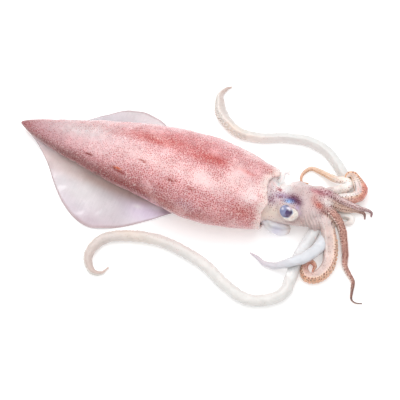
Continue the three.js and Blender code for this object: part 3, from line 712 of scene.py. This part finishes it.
def make_fin(name, edge, side, node):
    """A fin: a blade that thins from its root in the mantle to a wavy edge, side being -1 on the right."""
    u = np.linspace(0, 1, FIN_ROWS)
    outline = spline(edge, u)
    middle = spline(MANTLE_STATIONS, mantle_share(outline[:, 0]))
    root_y = middle[:, 1] + side * middle[:, 3] * 0.35
    towards_tail = np.maximum(1 - outline[:, 0] / 40, 0)
    root_z = lerp(4.6, 6.6, towards_tail)[:, None]
    edge_z = lerp(1.1, 6.6, towards_tail**2)[:, None]
    share = 1 - (1 - np.linspace(0, 1, FIN_COLUMNS // 2)) ** 1.6
    width = np.abs(outline[:, 1] - root_y)[:, None]
    y = lerp(root_y[:, None], outline[:, 1, None], share)
    wave = 0.55 * np.sin(u[:, None] * TAU * 3.2 + 0.7) + 0.35 * np.sin(u[:, None] * TAU * 7.1 + 2)
    centre = lerp(edge_z, root_z, (1 - share) ** 2) + wave * share**3 * smoothstep(width, 4, 25)
    thickness = lerp(4.0, 1.3, share**0.7) * np.sqrt(np.clip(1 - share**14, 0, 1))
    x = outline[:, 0, None] + 0 * y
    upper = np.stack([x, y, centre + thickness / 2], -1)
    lower = np.stack([x, y, centre - thickness / 2], -1)
    rings = np.concatenate([upper, lower[:, ::-1][:, 1:-1]], 1)
    shares = np.concatenate([share, share[::-1][1:-1]])
    if side > 0:
        rings, shares = rings[:, ::-1], shares[::-1]
    rings[..., 2] = np.maximum(rings[..., 2], 0.05)
    points, faces = closed_rings(rings)
    values = np.repeat(outline[:, 0], len(shares)), (shares * width).ravel(), np.tile(shares, FIN_ROWS)
    along, across, shares = (np.append(value, [0, 0]) for value in values)
    points[:, 2] += 0.12 * ripple(points, 9, 5) * (points[:, 2] > 1)
    spots = RIGHT_FIN_SPOTS if side < 0 else LEFT_FIN_SPOTS
    tone = blend_spots(plain_tone(points, (200, 193, 198)), points, spots)
    tone = tinted(tone, (160, 136, 136), smoothstep(shares, 0.93, 1.0) * 0.8)
    piece = make_object(name, points, faces)
    paint(piece, tone, along=along, across=across)
    finish_piece(piece, FIN_SKIN, "fin_skin", node)


# ---------------------------------------------------------------- limbs

# Spots on the head's skin, which also reach the arms near it.
HEAD_SPOTS = [
    ([217, -12, 22], [5, 7, 9], (250, 228, 216), 0.85),
    ([222.6, -8.4, 25], [5, 5, 6], (252, 236, 220), 0.85),
    # Painted shade: a brownish line in the crease where the eye's bulge tucks into the mantle.
    ([215.6, -8, 26], [2, 9, 9], (222, 186, 168), 0.7),
    ([229, -10.5, 17], [6, 4, 4], (250, 232, 220), 0.75),
    ([217, 3, 31.5], [7, 8, 6], (250, 236, 238), 0.8),
    ([218, 13, 30], [8, 7, 8], (255, 252, 250), 1.0),
    ([226, 11, 31], [4, 4, 4], (226, 232, 234), 0.6),
    ([219, -2.6, 31.8], [4.5, 3.4, 5], (180, 146, 166), 0.7),
    ([221.5, 2.4, 32], [4, 2.6, 4], (172, 138, 164), 0.6),
    ([226, 4, 31.6], [4.5, 3, 4], (158, 128, 168), 0.75),
    ([221.2, 8.2, 31.6], [2.2, 1.5, 3], (190, 74, 78), 0.95),
    ([215.2, 10.4, 33], [2.4, 1.4, 3], (214, 96, 112), 0.7),
    ([234.6, 5, 32], [6, 4.6, 6], (112, 50, 92), 0.95),
    ([239, 3.6, 31], [3.6, 2.8, 4], (108, 50, 84), 0.85),
    ([233.2, 2.2, 32.6], [3.6, 1.8, 4], (74, 82, 150), 0.9),
    ([231.4, 0.4, 32.5], [3.2, 1.4, 4], (138, 186, 238), 0.9),
    ([239.8, -0.6, 29.6], [2, 1.6, 4], (200, 176, 214), 0.8),
    ([242.6, -2.2, 24.8], [1.6, 1.6, 3], (206, 178, 206), 0.7),
    ([249.6, 21.6, 26], [5.6, 4, 5], (206, 108, 124), 0.75),
    ([250.4, 22.4, 25.6], [2.4, 1.8, 3], (156, 52, 74), 0.8),
    ([245.4, 19.4, 28], [3.6, 2.6, 4], (204, 122, 132), 0.6),
    ([257, 23.8, 25], [5, 2.6, 4], (200, 146, 160), 0.7),
    ([253.4, 10, 26.6], [5, 3, 4], (224, 138, 118), 0.75),
    ([254, 9.4, 26.4], [2.6, 1.8, 3], (230, 124, 104), 0.65),
    ([248.6, 13, 28.4], [3, 4.4, 4], (212, 140, 130), 0.6),
    ([259, 7.6, 24], [5, 2.6, 4], (206, 156, 146), 0.6),
    ([260, 14.6, 24], [5, 3.4, 5], (232, 224, 222), 0.85),
    ([238, 14, 30.5], [9, 5, 6], (200, 176, 174), 0.6),
    ([246, -3, 16], [9, 6, 8], (204, 178, 166), 0.5),
    ([237.4, -8.6, 17.6], [5, 1.8, 1.8], (170, 128, 122), 0.75),
    ([243.9, -5, 20.3], [3, 2, 2.4], (168, 134, 134), 0.6),
    ([218, 20, 27], [9, 9, 9], (255, 252, 248), 1.0),
    ([212, 15, 29], [6, 9, 9], (255, 240, 240), 0.9),
    ([221, 24, 28], [5, 7, 5], (255, 252, 252), 1.0),
]
HEAD_ONLY_SPOTS = [
    ([213, 5, 32], [3, 3, 4], (236, 150, 166), 0.5),
    ([262, 26, 14], [7, 7, 7], (226, 218, 212), 0.8),
]
HEAD_DOTS = [
    ([235, 5, 32], [6, 5, 5], 0.95, 1.0),
    ([224, 2.6, 31.8], [6, 4, 5], 0.85, 0.9),
    ([221, 8, 31.6], [4, 3, 4], 0.9, 0.9),
    ([250, 21, 26], [8, 6, 7], 0.85, 1.0),
    ([257, 24, 25], [6, 4, 5], 1.0, 0.9),
    ([253, 10.6, 26.6], [7, 5, 6], 0.75, 1.0),
    ([259, 8, 24], [6, 4, 5], 1.0, 0.9),
    ([218, -2, 31], [6, 5, 5], 0.9, 0.8),
    ([242, 17, 29], [9, 5, 6], 0.4, 0.8),
]
# Limb roots on the head: how many stations the head's skin runs along each, and its extra thickness.
ROOT_SKINS = {
    "tentacle_right": (2, 0.8), "tentacle_left": (2, 0.8), "arm_right_4": (3, 0.8), "arm_right_3": (3, 0.8),
    "arm_right_2": (2.2, 0.9), "arm_right_1": (2, 0.8), "arm_left_1": (2, 0.9), "arm_left_4": (3, 0.6),
    "arm_left_3": (3, 0.8), "arm_left_2": (2.6, 0.8),
}

HEAD_DOT_DENSITY = 0.1
LIMB_SIDES = 44
CAP_RINGS = 4
# Degrees from the middle of the sucker side to each skin fold and to each row of cups.
FOLD_AT = 52
CUP_ANGLE = 23
SMALLEST_CUP = 0.18


def flattened(route):
    """Stations of a route whose tube is a little lower than wide."""
    return [[x, y, z, r, r * LIMB_FLATTENING] for x, y, z, r in route]


def limb_stations(name):
    return flattened(LIMBS[name]["route"])


def turned(degrees):
    """Brings an angle within half a turn of zero."""
    return (degrees + 180) % 360 - 180


def limb_look(name, u, length, from_top):
    """Colour, dots and bead rows of a limb's skin, by share, length and degrees round from its top."""
    spec = LIMBS[name]
    front = linear(spec["front"])
    around = np.abs(turned(from_top + 90 - spec["oral"]))
    start = spec["suckers"][0]
    sucker_side = smoothstep(np.cos(np.radians(around)), 0.45, 0.75)
    sucker_side = sucker_side * smoothstep(u, start - 0.1, start + 0.02)
    tone = tinted(linear(spec["back"]), spec["tip"], smoothstep(u, 0.45, 1))
    tone = lerp(tone, front, sucker_side[:, None])
    dots = lerp(spec["dots"][0], spec["dots"][1], u)
    dots = lerp(dots, spec.get("front_dots", 0.4 * dots), sucker_side)
    on_fold = gaussian(around, FOLD_AT, 12) * smoothstep(u, start - 0.1, start)
    pale = lerp(front, linear((240, 228, 222)), 0.6)
    fold_tone = linear(spec["fold_tone"]) if "fold_tone" in spec else pale
    tone = lerp(tone, fold_tone, (on_fold * 0.7)[:, None])
    rows = np.zeros(len(u))
    for degrees, strength in spec.get("beads", ()):
        rows = np.maximum(rows, strength * gaussian(turned(from_top - degrees), 0, 12))
    for degrees, strength in spec.get("highlight_streaks", ()):
        # Pale streaks along the limb are painted highlights of its wet skin.
        streak = strength * gaussian(turned(from_top - degrees), 0, 8) * (1 - smoothstep(u, 0.6, 0.9))
        tone = tinted(tone, (252, 240, 236), streak)
    if not name.startswith("tentacle"):
        own = smoothstep(length, *spec.get("root", (5, 20)))
        tone = lerp(linear(HEAD_TONE), tone, own[:, None])
        dots = lerp(HEAD_DOT_DENSITY, dots, own)
        rows = rows * own
    return tone, dots, rows * (1 - 0.8 * smoothstep(u, 0.8, 1))


def limb_section(spec, rows, left, up, angle):
    """Points of a limb's skin at angles round each of its rings, angle being from the sucker side."""
    toward = np.radians(spec["oral"]) + angle
    fold = gaussian(np.abs(angle), math.radians(FOLD_AT), math.radians(11))
    keel = gaussian(np.abs(angle), math.pi, math.radians(26))
    scallop = 1 + 0.35 * np.sin(lengths_along(rows) * TAU / 2.6)[:, None]
    flat = 1 - 0.16 * np.clip(np.cos(angle), 0, 1) ** 3
    shape = flat + spec["folds"] * fold * scallop + 0.07 * keel
    wide = rows[:, 3, None] * np.cos(toward) * shape
    high = rows[:, 4, None] * np.sin(toward) * shape
    return loops(rows, left, up, wide, high)


# A sucker cup's rings, each its radius and height for a cup of size 1, and how deep in the cup it is.
CUP_PROFILE = [
    (0.5, -0.7, 0), (0.62, -0.1, 0), (0.92, 0.12, 0), (1.0, 0.42, 0), (0.86, 0.62, 0), (0.66, 0.6, 0.4),
    (0.5, 0.38, 1), (0.28, 0.24, 1),
]
CUP_SIDES = 12


def sucker(centre, outward, forward, size):
    """One sucker cup on a short stalk: points, faces and how deep in the cup each point is."""
    across = unit(np.cross(outward, forward))
    ahead = np.cross(across, outward)
    angle = ring_angles(CUP_SIDES)[:, None]
    rings = np.stack([
        centre + outward * size * h + size * r * (across * np.cos(angle) + ahead * np.sin(angle))
        for r, h, _ in CUP_PROFILE
    ])
    points, faces = closed_rings(rings)
    return points, faces, np.append(np.repeat([d for _, _, d in CUP_PROFILE], CUP_SIDES), [0, 1])


# Extra spots on limbs: place, reach, colour, strength.
LIMB_SPOTS = {
    "arm_right_3": [
        ([263, -34, 4], [7, 7, 8], (226, 166, 148), 0.5),
        ([280, -22, 8], [6, 13, 8], (244, 214, 204), 0.65),
    ],
    "arm_right_2": [
        ([284, -11, 5], [6, 8, 6], (160, 92, 78), 0.35),
    ],
    "arm_left_2": [
        ([260, 36, 13.5], [10, 12, 8], (238, 232, 230), 0.95),
        ([267, 43, 12.6], [6.5, 6, 6], (254, 248, 246), 1.0),
    ],
    "arm_left_3": [
        ([258, 27, 13], [9, 8, 8], (228, 222, 218), 0.9),
        ([268, 34, 14], [7, 6, 6], (232, 222, 218), 0.7),
        ([279, 46, 8], [5, 10, 7], (206, 108, 102), 0.75),
        ([266, 55, 11], [6, 4, 6], (222, 160, 112), 0.6),
    ],
    "tentacle_left": [([160, 61, 4], [16, 5, 8], (230, 214, 196), 0.6)],
    "tentacle_right": [
        ([118, -60, 4], [22, 5, 8], (224, 200, 180), 0.5),
        ([254, -20, 6], [14, 24, 10], (222, 223, 226), 0.95),
    ],
}


def make_limb(name):
    """An arm or a tentacle: its skin, a rounded tip and two rows of sucker cups."""
    spec = LIMBS[name]
    long_limb = name.startswith("tentacle")
    stations = limb_stations(name)
    count = (len(stations) - 1) * (20 if long_limb else 13) + 1
    rows, left, up, forward = frames(stations, count)
    oral = np.radians(spec["oral"])
    angle = (ring_angles(LIMB_SIDES) - oral + math.pi) % TAU - math.pi
    rings = limb_section(spec, rows, left, up, np.tile(angle, (count, 1)))
    last = rings[-1]
    reach = rows[-1, 3]
    cap = [
        lerp(last.mean(0), last, math.cos(a)) + forward[-1] * reach * math.sin(a)
        for a in np.linspace(0, math.pi / 2, CAP_RINGS + 2)[1:-1]
    ]
    rings = np.concatenate([rings, cap])
    size = np.append(rows[:, 3], [reach] * CAP_RINGS)[:, None]
    rings = swollen(rings, 0.045 * size * (ripple(rings, 7, 11) + 0.6 * ripple(rings, 2.6, 12)))
    points, faces = closed_rings(rings)

    def per_point(value, first, last):
        return np.append(np.repeat(value, LIMB_SIDES), [first, last])

    u = per_point(np.append(np.linspace(0, 1, count), [1] * CAP_RINGS), 0, 1)
    length = lengths_along(rows)
    length = np.append(length, length[-1] + reach * np.arange(1, CAP_RINGS + 1) / CAP_RINGS)
    length = per_point(length, 0, length[-1])
    from_top = (angle + oral - math.pi / 2 + math.pi) % TAU - math.pi
    flow = np.stack([length, np.append(from_top * size, [0, 0])], -1)
    degrees = np.append(np.tile(np.degrees(from_top), len(rings)), [0, 0])
    tone, dots, bead_rows = limb_look(name, u, length, degrees)
    tone = blend_spots(tone, points, LIMB_SPOTS.get(name, []))
    if not long_limb:
        tone = blend_spots(tone, points, HEAD_SPOTS)
        dots = np.clip(blend_spots(dots, points, HEAD_DOTS), 0, 1)
    front = linear(spec["front"])
    cup_rim = lerp(front, linear((240, 222, 210)), 0.4)
    # Each cup is painted dark brown in its hollow: painted shade, left out on the pale limbs.
    cup_depth = lerp(front, linear((120, 66, 50)), 0.0 if name in PALE_LIMBS else 0.7)
    meshes, tones = [(points, faces)], [tone]
    start, end, pairs, cup_share = spec["suckers"]
    at = np.linspace(start, end, pairs)
    ahead = unit(spline(stations, at + 0.01)[:, :3] - spline(stations, at - 0.01)[:, :3])
    aside = unit(np.cross(UP, ahead))
    for side, shift in ((-1, 0), (1, 0.5)):
        moved = spline(stations, np.clip(at + shift * (end - start) / pairs, 0, 1))
        cup_angle = np.full((pairs, 1), side * math.radians(CUP_ANGLE))
        roots = limb_section(spec, moved, aside, np.cross(ahead, aside), cup_angle)[:, 0]
        for root, row, way in zip(roots, moved, ahead):
            cup_size = max(row[3] * cup_share, SMALLEST_CUP)
            away = unit(root - row[:3])
            cup, cup_faces, depth = sucker(root - away * cup_size * 0.2, away, way, cup_size)
            meshes.append((cup, cup_faces))
            tones.append(lerp(cup_rim, cup_depth, depth[:, None]))
    points, faces = joined(meshes)
    points[:, 2] = np.maximum(points[:, 2], 0.05)
    bare = (0, len(points) - len(dots))
    piece = make_object(name + "_flesh", points, faces)
    paint(
        piece, np.vstack(tones), dots=np.pad(dots, bare), flow=np.pad(flow, (bare, (0, 0))),
        rows=np.pad(bead_rows, bare))
    material, slot = (PALE_FLESH, "pale_flesh") if name in PALE_LIMBS else (ARM_SKIN, "arm_skin")
    finish_piece(piece, material, slot, name)


# ---------------------------------------------------------------- head

# In metres.
HEAD_VOXEL = 0.00055


def ball(centre, radius, rings=20, sides=28):
    polar = np.linspace(0.08, math.pi - 0.08, rings)[:, None]
    angle = ring_angles(sides)
    x, y = np.sin(polar) * np.cos(angle), np.sin(polar) * np.sin(angle)
    shape = np.stack([x, y, 0 * angle - np.cos(polar)], -1)
    return closed_rings(np.array(centre) + shape * np.array(radius))


def tube(route, count, sides, growth=0.0, end=1.0):
    """A closed tube along a route, up to a share of it, grown by an amount at each ring."""
    rows, left, up, _ = frames(route, count, end)
    angle = ring_angles(sides)
    growth = np.broadcast_to(growth, count)
    wide = (rows[:, 3] + growth)[:, None] * np.cos(angle)
    high = (rows[:, 4] + growth)[:, None] * np.sin(angle)
    return closed_rings(loops(rows, left, up, wide, high))


# The lids: degrees from the eye's axis to their edge, and how far they rise over and sink into the eye.
LID_OPENING = 29.5
LID_HEIGHT = 0.12
LID_CUT = 0.5


def open_lids(points, eye, axis, corner):
    """Pushes the skin over an eye inside it within the opening, and raises a lid round the opening.

    The opening reaches further towards the arms, by corner degrees, where the white of the eye shows.
    """
    centre, radius = eye
    axis = unit(axis)
    offset = points - centre
    distance = np.linalg.norm(offset, axis=1)
    direction = offset / distance[:, None]
    around = np.degrees(np.arccos(np.clip(direction @ axis, -1, 1)))
    aside = direction - (direction @ axis)[:, None] * axis
    arms_way = unit(np.array([0.9, math.copysign(0.3, axis[1]), -0.35]))
    towards_arms = unit(aside + 1e-9) @ arms_way
    reach = LID_OPENING + corner * np.clip(towards_arms, 0, 1) ** 1.6
    skin_radius = radius + LID_HEIGHT * gaussian(around, reach + 4, 5) + 0.3
    target = lerp(radius - LID_CUT, skin_radius, smoothstep(around, reach - 4, reach + 1))
    share = np.where(distance < radius + 4.5, 1 - smoothstep(around, reach + 10, reach + 24), 0)
    return centre + direction * lerp(distance, target, share)[:, None]


# Balls under the head's skin, from the back of the head and the neck to the arms' roots. Each has its
# centre and its half sizes, and the neck's also how many rings and sides it is made with.
HEAD_LUMPS = [
    ([222, 2, 22.5], [9, 12, 8]), ([207, 2.2, 20.6], [14, 23.6, 18.6], 36, 56),
    ([254, 4, 14], [8.5, 8.5, 7.5]), ([256, 14, 15.5], [7.5, 7.5, 6.5]), ([256, 25, 14.5], [8, 8, 7]),
    ([249.5, 26, 17.2], [7, 5, 6]),
]


def crease_strength(points):
    """How strongly the skin is creased, most in front of the right eye where the arms begin."""
    return np.exp(-(((points - [253, -1, 17]) / [9, 8, 10]) ** 2).sum(1))


def collar_curl():
    """A small curl of skin that stands up from the far side of the collar."""
    route = [[217.6, 11, 22, 4.2, 3.4], [218.2, 17, 25.4, 3.6, 2.8], [217.8, 21.6, 27.8, 2.9, 2.3],
             [218.4, 25.2, 28.8, 2.3, 1.9], [220.8, 27.4, 28.2, 1.9, 1.6], [223.2, 26.4, 27, 1.3, 1]]
    points, faces = tube(route, 40, 20)
    return points + 0.12 * ripple(points, 4, 24)[:, None], faces


def blend_root(name, points, tone, dots, bead_rows):
    """Carries a limb's own look on to the head's skin where that skin runs over the limb's root."""
    stations = limb_stations(name)
    samples = 60
    end = 4 / (len(stations) - 1)
    rows, left, up, _ = frames(stations, samples, end)
    close = np.nonzero(points[:, 0] > rows[:, 0].min() - 4)[0]
    offsets = points[close, None] - rows[None, :, :3]
    nearest = (offsets**2).sum(-1).argmin(1)
    offset = offsets[np.arange(len(close)), nearest]
    aside = (offset * left[nearest]).sum(1) / rows[nearest, 3]
    above = (offset * up[nearest]).sum(1) / rows[nearest, 4]
    from_top = np.degrees(np.arctan2(-aside, above))
    length = lengths_along(rows)[nearest]
    share = (1 - smoothstep(np.hypot(aside, above), 1.3, 1.8)) * smoothstep(length, 1, 5)
    look = limb_look(name, nearest / (samples - 1) * end, length, from_top)
    for value, limb_value in zip((tone, dots, bead_rows), look):
        value[close] = lerp(value[close], limb_value, share[:, None] if value.ndim > 1 else share)


def make_head():
    """One skin over the neck, the eyes' balls and the limbs' roots, opened over the eyes, with its curl."""
    parts = [tube(HEAD_STATIONS, 60, 64)]
    for (centre, radius), grown in ((RIGHT_EYE, 1.0), (LEFT_EYE, 0.7)):
        parts.append(ball(centre, [radius + grown] * 3))
    for name, (reach, thickness) in ROOT_SKINS.items():
        stations = limb_stations(name)
        growth = lerp(thickness, -1.1, smoothstep(np.linspace(0, 1, 30), 0.35, 1.0))
        parts.append(tube(stations, 30, 36, growth, reach / (len(stations) - 1)))
    for lump in HEAD_LUMPS:
        parts.append(ball(*lump))
    rough_head = make_object("head_rough", *joined(parts))
    remesh = rough_head.modifiers.new("remesh", "REMESH")
    remesh.mode = "VOXEL"
    remesh.voxel_size = HEAD_VOXEL
    smooth = rough_head.modifiers.new("smooth", "SMOOTH")
    smooth.factor = 0.5
    smooth.iterations = 22
    evaluated = rough_head.evaluated_get(bpy.context.evaluated_depsgraph_get())
    mesh = bpy.data.meshes.new_from_object(evaluated)
    bpy.data.objects.remove(rough_head)
    points, normals = np.zeros((2, len(mesh.vertices) * 3))
    mesh.vertices.foreach_get("co", points)
    mesh.vertices.foreach_get("normal", normals)
    points = points.reshape(-1, 3) * 1000 + ORIGIN
    faces = [list(face.vertices) for face in mesh.polygons]
    bpy.data.meshes.remove(mesh)
    folds = np.sin(points[:, 0] * TAU / 3.4 + 1.5 * ripple(points, 18, 21))
    folds = 0.45 * gaussian(points[:, 0], 212, 7) * folds
    wave = np.sin((points @ unit(np.array([0.75, 0.5, 0.2]))) * TAU / 2.3 + ripple(points, 14, 23))
    creases = crease_strength(points) * wave
    height = folds + 0.35 * creases + 0.14 * ripple(points, 6, 22)
    points = points + normals.reshape(-1, 3) * height[:, None]
    points = open_lids(points, RIGHT_EYE, RIGHT_EYE_AXIS, 37)
    points = open_lids(points, LEFT_EYE, LEFT_EYE_AXIS, 30)
    points[:, 2] = np.maximum(points[:, 2], 0.05)
    points, faces = joined([(points, faces), collar_curl()])
    tone = plain_tone(points, HEAD_TONE)
    tone = tinted(tone, (214, 190, 184), smoothstep(-points[:, 2], -15, -4) * 0.6)
    tone = tinted(tone, (248, 230, 226), smoothstep(-points[:, 0], -216, -206))
    dots = np.full(len(points), HEAD_DOT_DENSITY)
    bead_rows = np.zeros(len(points))
    for name in ROOT_SKINS:
        if name not in PALE_LIMBS:
            blend_root(name, points, tone, dots, bead_rows)
    tone = blend_spots(tone, points, HEAD_SPOTS + HEAD_ONLY_SPOTS)
    # Painted light and shade over the creases: lighter on their ridges, darker in their troughs.
    tone = tone * (1 + 0.16 * np.pad(creases, (0, len(points) - len(creases))))[:, None]
    dots = np.clip(blend_spots(dots, points, HEAD_DOTS), 0, 1)
    turn = np.arctan2(points[:, 1] - 9, points[:, 2] - 16)
    piece = make_object("head_skin_cap", points, faces)
    paint(piece, tone, dots=dots, flow=np.stack([points[:, 0], turn * 16], -1), rows=bead_rows)
    finish_piece(piece, HEAD_SKIN, "head_skin", "head")


# ---------------------------------------------------------------- eyes and funnel

# Glints, a dark speck and a pink edge on the right eye, as spots.
EYE_SPOTS = [
    ([229.1, -5.4, 29.1], [1.1, 0.9, 1.2], (236, 240, 250), 0.95),
    ([233.4, -4.2, 30.6], [1.7, 1, 1.4], (238, 232, 246), 0.97),
    ([234.6, -4.6, 30.1], [1, 0.8, 1], (244, 240, 250), 0.9),
    ([231.9, -2.9, 31.2], [1.4, 0.9, 1.4], (88, 92, 128), 0.9),
    ([232.6, -9.2, 26.6], [0.9, 0.9, 1.2], (150, 130, 176), 0.8),
    ([235.4, -3, 30.9], [1.4, 0.9, 1.2], (246, 196, 206), 0.8),
    ([238.6, -1.8, 29.8], [1.4, 1, 1.4], (250, 214, 222), 0.7),
    ([238, -7.4, 24.6], [2.4, 1.6, 2.4], (246, 206, 200), 0.5),
]
EYE_RINGS = 90
EYE_SIDES = 72


def make_eye(name, eye, axis, node):
    """An eyeball whose rings run round its axis: pupil with a painted reflection on one side, pale blue halo,
    cream white, dark back.
    """
    centre, radius = eye
    axis = unit(axis)
    across = unit(np.cross(UP, axis))
    over = np.cross(axis, across)
    polar = np.linspace(0.01, math.pi - 0.01, EYE_RINGS)
    angle = ring_angles(EYE_SIDES)
    degrees = np.degrees(polar)
    bulge = radius + 0.35 * gaussian(degrees, 0, 24) - 0.05
    circle = across * np.cos(angle)[:, None] - over * np.sin(angle)[:, None]
    rings = (
        centre + axis * (bulge * np.cos(polar))[:, None, None]
        + (bulge * np.sin(polar))[:, None, None] * circle)
    points, faces = closed_rings(rings)
    where = np.append(np.repeat(degrees, EYE_SIDES), [0, 180])
    turn = np.append(np.tile(angle, EYE_RINGS), [0, 0])
    wavy = where + 1.4 * ripple(points, 5, 31)
    # The pupil's pale blue-grey side is a painted reflection on the eye's front; its other side is dark
    # purple.
    right_share = smoothstep(np.cos(turn), -0.5, 0.6)
    tone = tinted(linear((140, 146, 186)), (84, 66, 108), right_share)
    tone = tinted(tone, (178, 186, 212), smoothstep(wavy, 25, 29))
    tone = tinted(tone, (255, 246, 236), smoothstep(wavy, 29, 34))
    tone = tinted(tone, (150, 120, 130), smoothstep(wavy, 70, 95))
    tone = tinted(tone, (60, 44, 74), gaussian(wavy, 23, 3) * right_share * 0.7)
    piece = make_object(name, points, faces)
    paint(
        piece, blend_spots(tone, points, EYE_SPOTS if node == "eye_right" else []),
        dots=smoothstep(where, 26, 40) * 0.3)
    finish_piece(piece, EYEBALL, "eye", node)


FUNNEL_RINGS = 70
FUNNEL_SPOTS = [
    ([212, -12, 15], [6, 6, 6], (222, 214, 236), 0.7),
    ([222, -15, 11], [4, 4, 5], (255, 252, 250), 0.9),
    ([228, -14, 8], [5, 4, 5], (214, 210, 238), 0.7),
]


def make_funnel():
    """A lumpy tube with a groove along it, a flared wavy mouth and a bore that goes part of the way in."""
    sides = 64
    rows, left, up, forward = frames(flattened(FUNNEL_ROUTE), FUNNEL_RINGS)
    angle = ring_angles(sides)

    def ring(i, inset, ahead=0.0):
        share = i / (FUNNEL_RINGS - 1)
        flare = 0.5 * smoothstep(share, 0.8, 1.0)
        wave = 0.35 * np.sin(angle * 3 + 1) * smoothstep(share, 0.7, 1)
        swell = 1 + 0.09 * math.sin(share * TAU * 1.5 + 0.4)
        groove = -1.1 * gaussian(angle, math.radians(128), math.radians(15))
        groove = groove * smoothstep(share, 0.1, 0.4) * (1 - smoothstep(inset, 0, 0.5))
        wide, high = (rows[i, k] * swell - inset + flare + groove for k in (3, 4))
        return (
            rows[i, :3] + forward[i] * (ahead + wave)[:, None]
            + left[i] * (wide * np.cos(angle))[:, None] + up[i] * (high * np.sin(angle))[:, None])

    last = FUNNEL_RINGS - 1
    thickness = FUNNEL_WALL - 0.3
    rings = [ring(i, 0.0) for i in range(FUNNEL_RINGS)]
    for a in np.linspace(0, math.pi, 9)[1:-1]:
        rings.append(ring(last, thickness / 2 * (1 - math.cos(a)), 0.5 * math.sin(a)))
    rings += [ring(i, thickness) for i in range(last, int(FUNNEL_RINGS * 0.42), -1)]
    end = rings[-1]
    rings = np.array(rings + [lerp(end, end.mean(0), s) for s in (0.4, 0.75, 0.95)])
    rings = swollen(rings, 0.2 * ripple(rings, 4.5, 41) + 0.55 * ripple(rings, 10, 42))
    rings[..., 2] = np.maximum(rings[..., 2], 0.1)
    points, faces = closed_rings(rings)
    order = np.append(np.repeat(np.arange(len(rings)), sides), [0, len(rings)])
    tone = blend_spots(plain_tone(points, (250, 246, 252)), points, FUNNEL_SPOTS)
    tone = tinted(tone, (206, 186, 178), smoothstep(order, FUNNEL_RINGS - 14, last) * 0.8)
    # The bore darkens deeper in: painted shade inside the funnel.
    tone = tinted(tone, (150, 112, 100), smoothstep(order, FUNNEL_RINGS + 6, FUNNEL_RINGS + 26))
    piece = make_object("funnel_flesh", points, faces)
    paint(piece, tone, dots=np.zeros(len(points)), flow=points[:, :2])
    finish_piece(piece, PALE_FLESH, "pale_flesh", "funnel")


# ---------------------------------------------------------------- camera, lights and floor

CAMERA_AZIMUTH = 22.81
CAMERA_ELEVATION = 60
CAMERA_TARGET = [163.1, -13, 10]
CAMERA_DISTANCE = 1.2
CAMERA_LENS = 136.7
FLOOR_HALF = 3.0


def make_camera():
    data = bpy.data.cameras.new("camera")
    data.lens = CAMERA_LENS
    data.sensor_width = 36
    data.clip_start = 0.01
    camera = bpy.data.objects.new("camera", data)
    bpy.context.scene.collection.objects.link(camera)
    azimuth, elevation = math.radians(CAMERA_AZIMUTH), math.radians(CAMERA_ELEVATION)
    back = Vector((
        math.sin(azimuth) * math.cos(elevation), -math.cos(azimuth) * math.cos(elevation),
        math.sin(elevation)))
    camera.location = Vector(place([CAMERA_TARGET])[0]) + back * CAMERA_DISTANCE
    camera.rotation_euler = (-back).to_track_quat("-Z", "Y").to_euler()
    bpy.context.scene.camera = camera


def area_light(name, location, size, energy):
    data = bpy.data.lights.new(name, "AREA")
    data.shape = "DISK"
    data.size = size
    data.energy = energy
    light = bpy.data.objects.new(name, data)
    light.location = location
    light.rotation_euler = (-Vector(location)).to_track_quat("-Z", "Y").to_euler()
    bpy.context.scene.collection.objects.link(light)


def make_stage():
    """A pale floor, a white world and three soft lights."""
    mesh = bpy.data.meshes.new("floor")
    half = FLOOR_HALF
    corners = [(-half, -half, 0), (half, -half, 0), (half, half, 0), (-half, half, 0)]
    mesh.from_pydata(corners, [], [(0, 1, 2, 3)])
    floor = bpy.data.objects.new("floor", mesh)
    floor.location.z = -0.0001
    bpy.context.scene.collection.objects.link(floor)
    t = Tree("floor")
    diffuse = t.add("BsdfDiffuse", {"Color": (0.8, 0.8, 0.8, 1)}).outputs[0]
    glow = t.add("Emission", {"Color": (1, 1, 1, 1), "Strength": 0.31}).outputs[0]
    both = t.add("AddShader", {0: diffuse, 1: glow}).outputs[0]
    t.tree.links.new(both, t.output.inputs[0])
    mesh.materials.append(t.material)
    scene = bpy.context.scene
    scene.view_settings.view_transform = "Standard"
    world = bpy.data.worlds.new("world")
    world.use_nodes = True
    background = world.node_tree.nodes["Background"]
    background.inputs[0].default_value = (1, 1, 1, 1)
    background.inputs[1].default_value = 0.5
    scene.world = world
    area_light("overhead", (-0.1, 0.12, 1.3), 1.8, 14.5)
    area_light("window", (-0.7, 0.5, 0.9), 0.35, 2.5)
    area_light("fill", (0.8, -0.7, 0.9), 0.6, 1.5)


make_camera()
make_stage()
make_mantle()
make_fin("fin_right_blade", RIGHT_FIN_EDGE, -1, "fin_right")
make_fin("fin_left_blade", LEFT_FIN_EDGE, 1, "fin_left")
make_head()
make_eye("eye_right_ball", RIGHT_EYE, RIGHT_EYE_AXIS, "eye_right")
make_eye("eye_left_ball", LEFT_EYE, LEFT_EYE_AXIS, "eye_left")
make_funnel()
for limb in LIMBS:
    make_limb(limb)
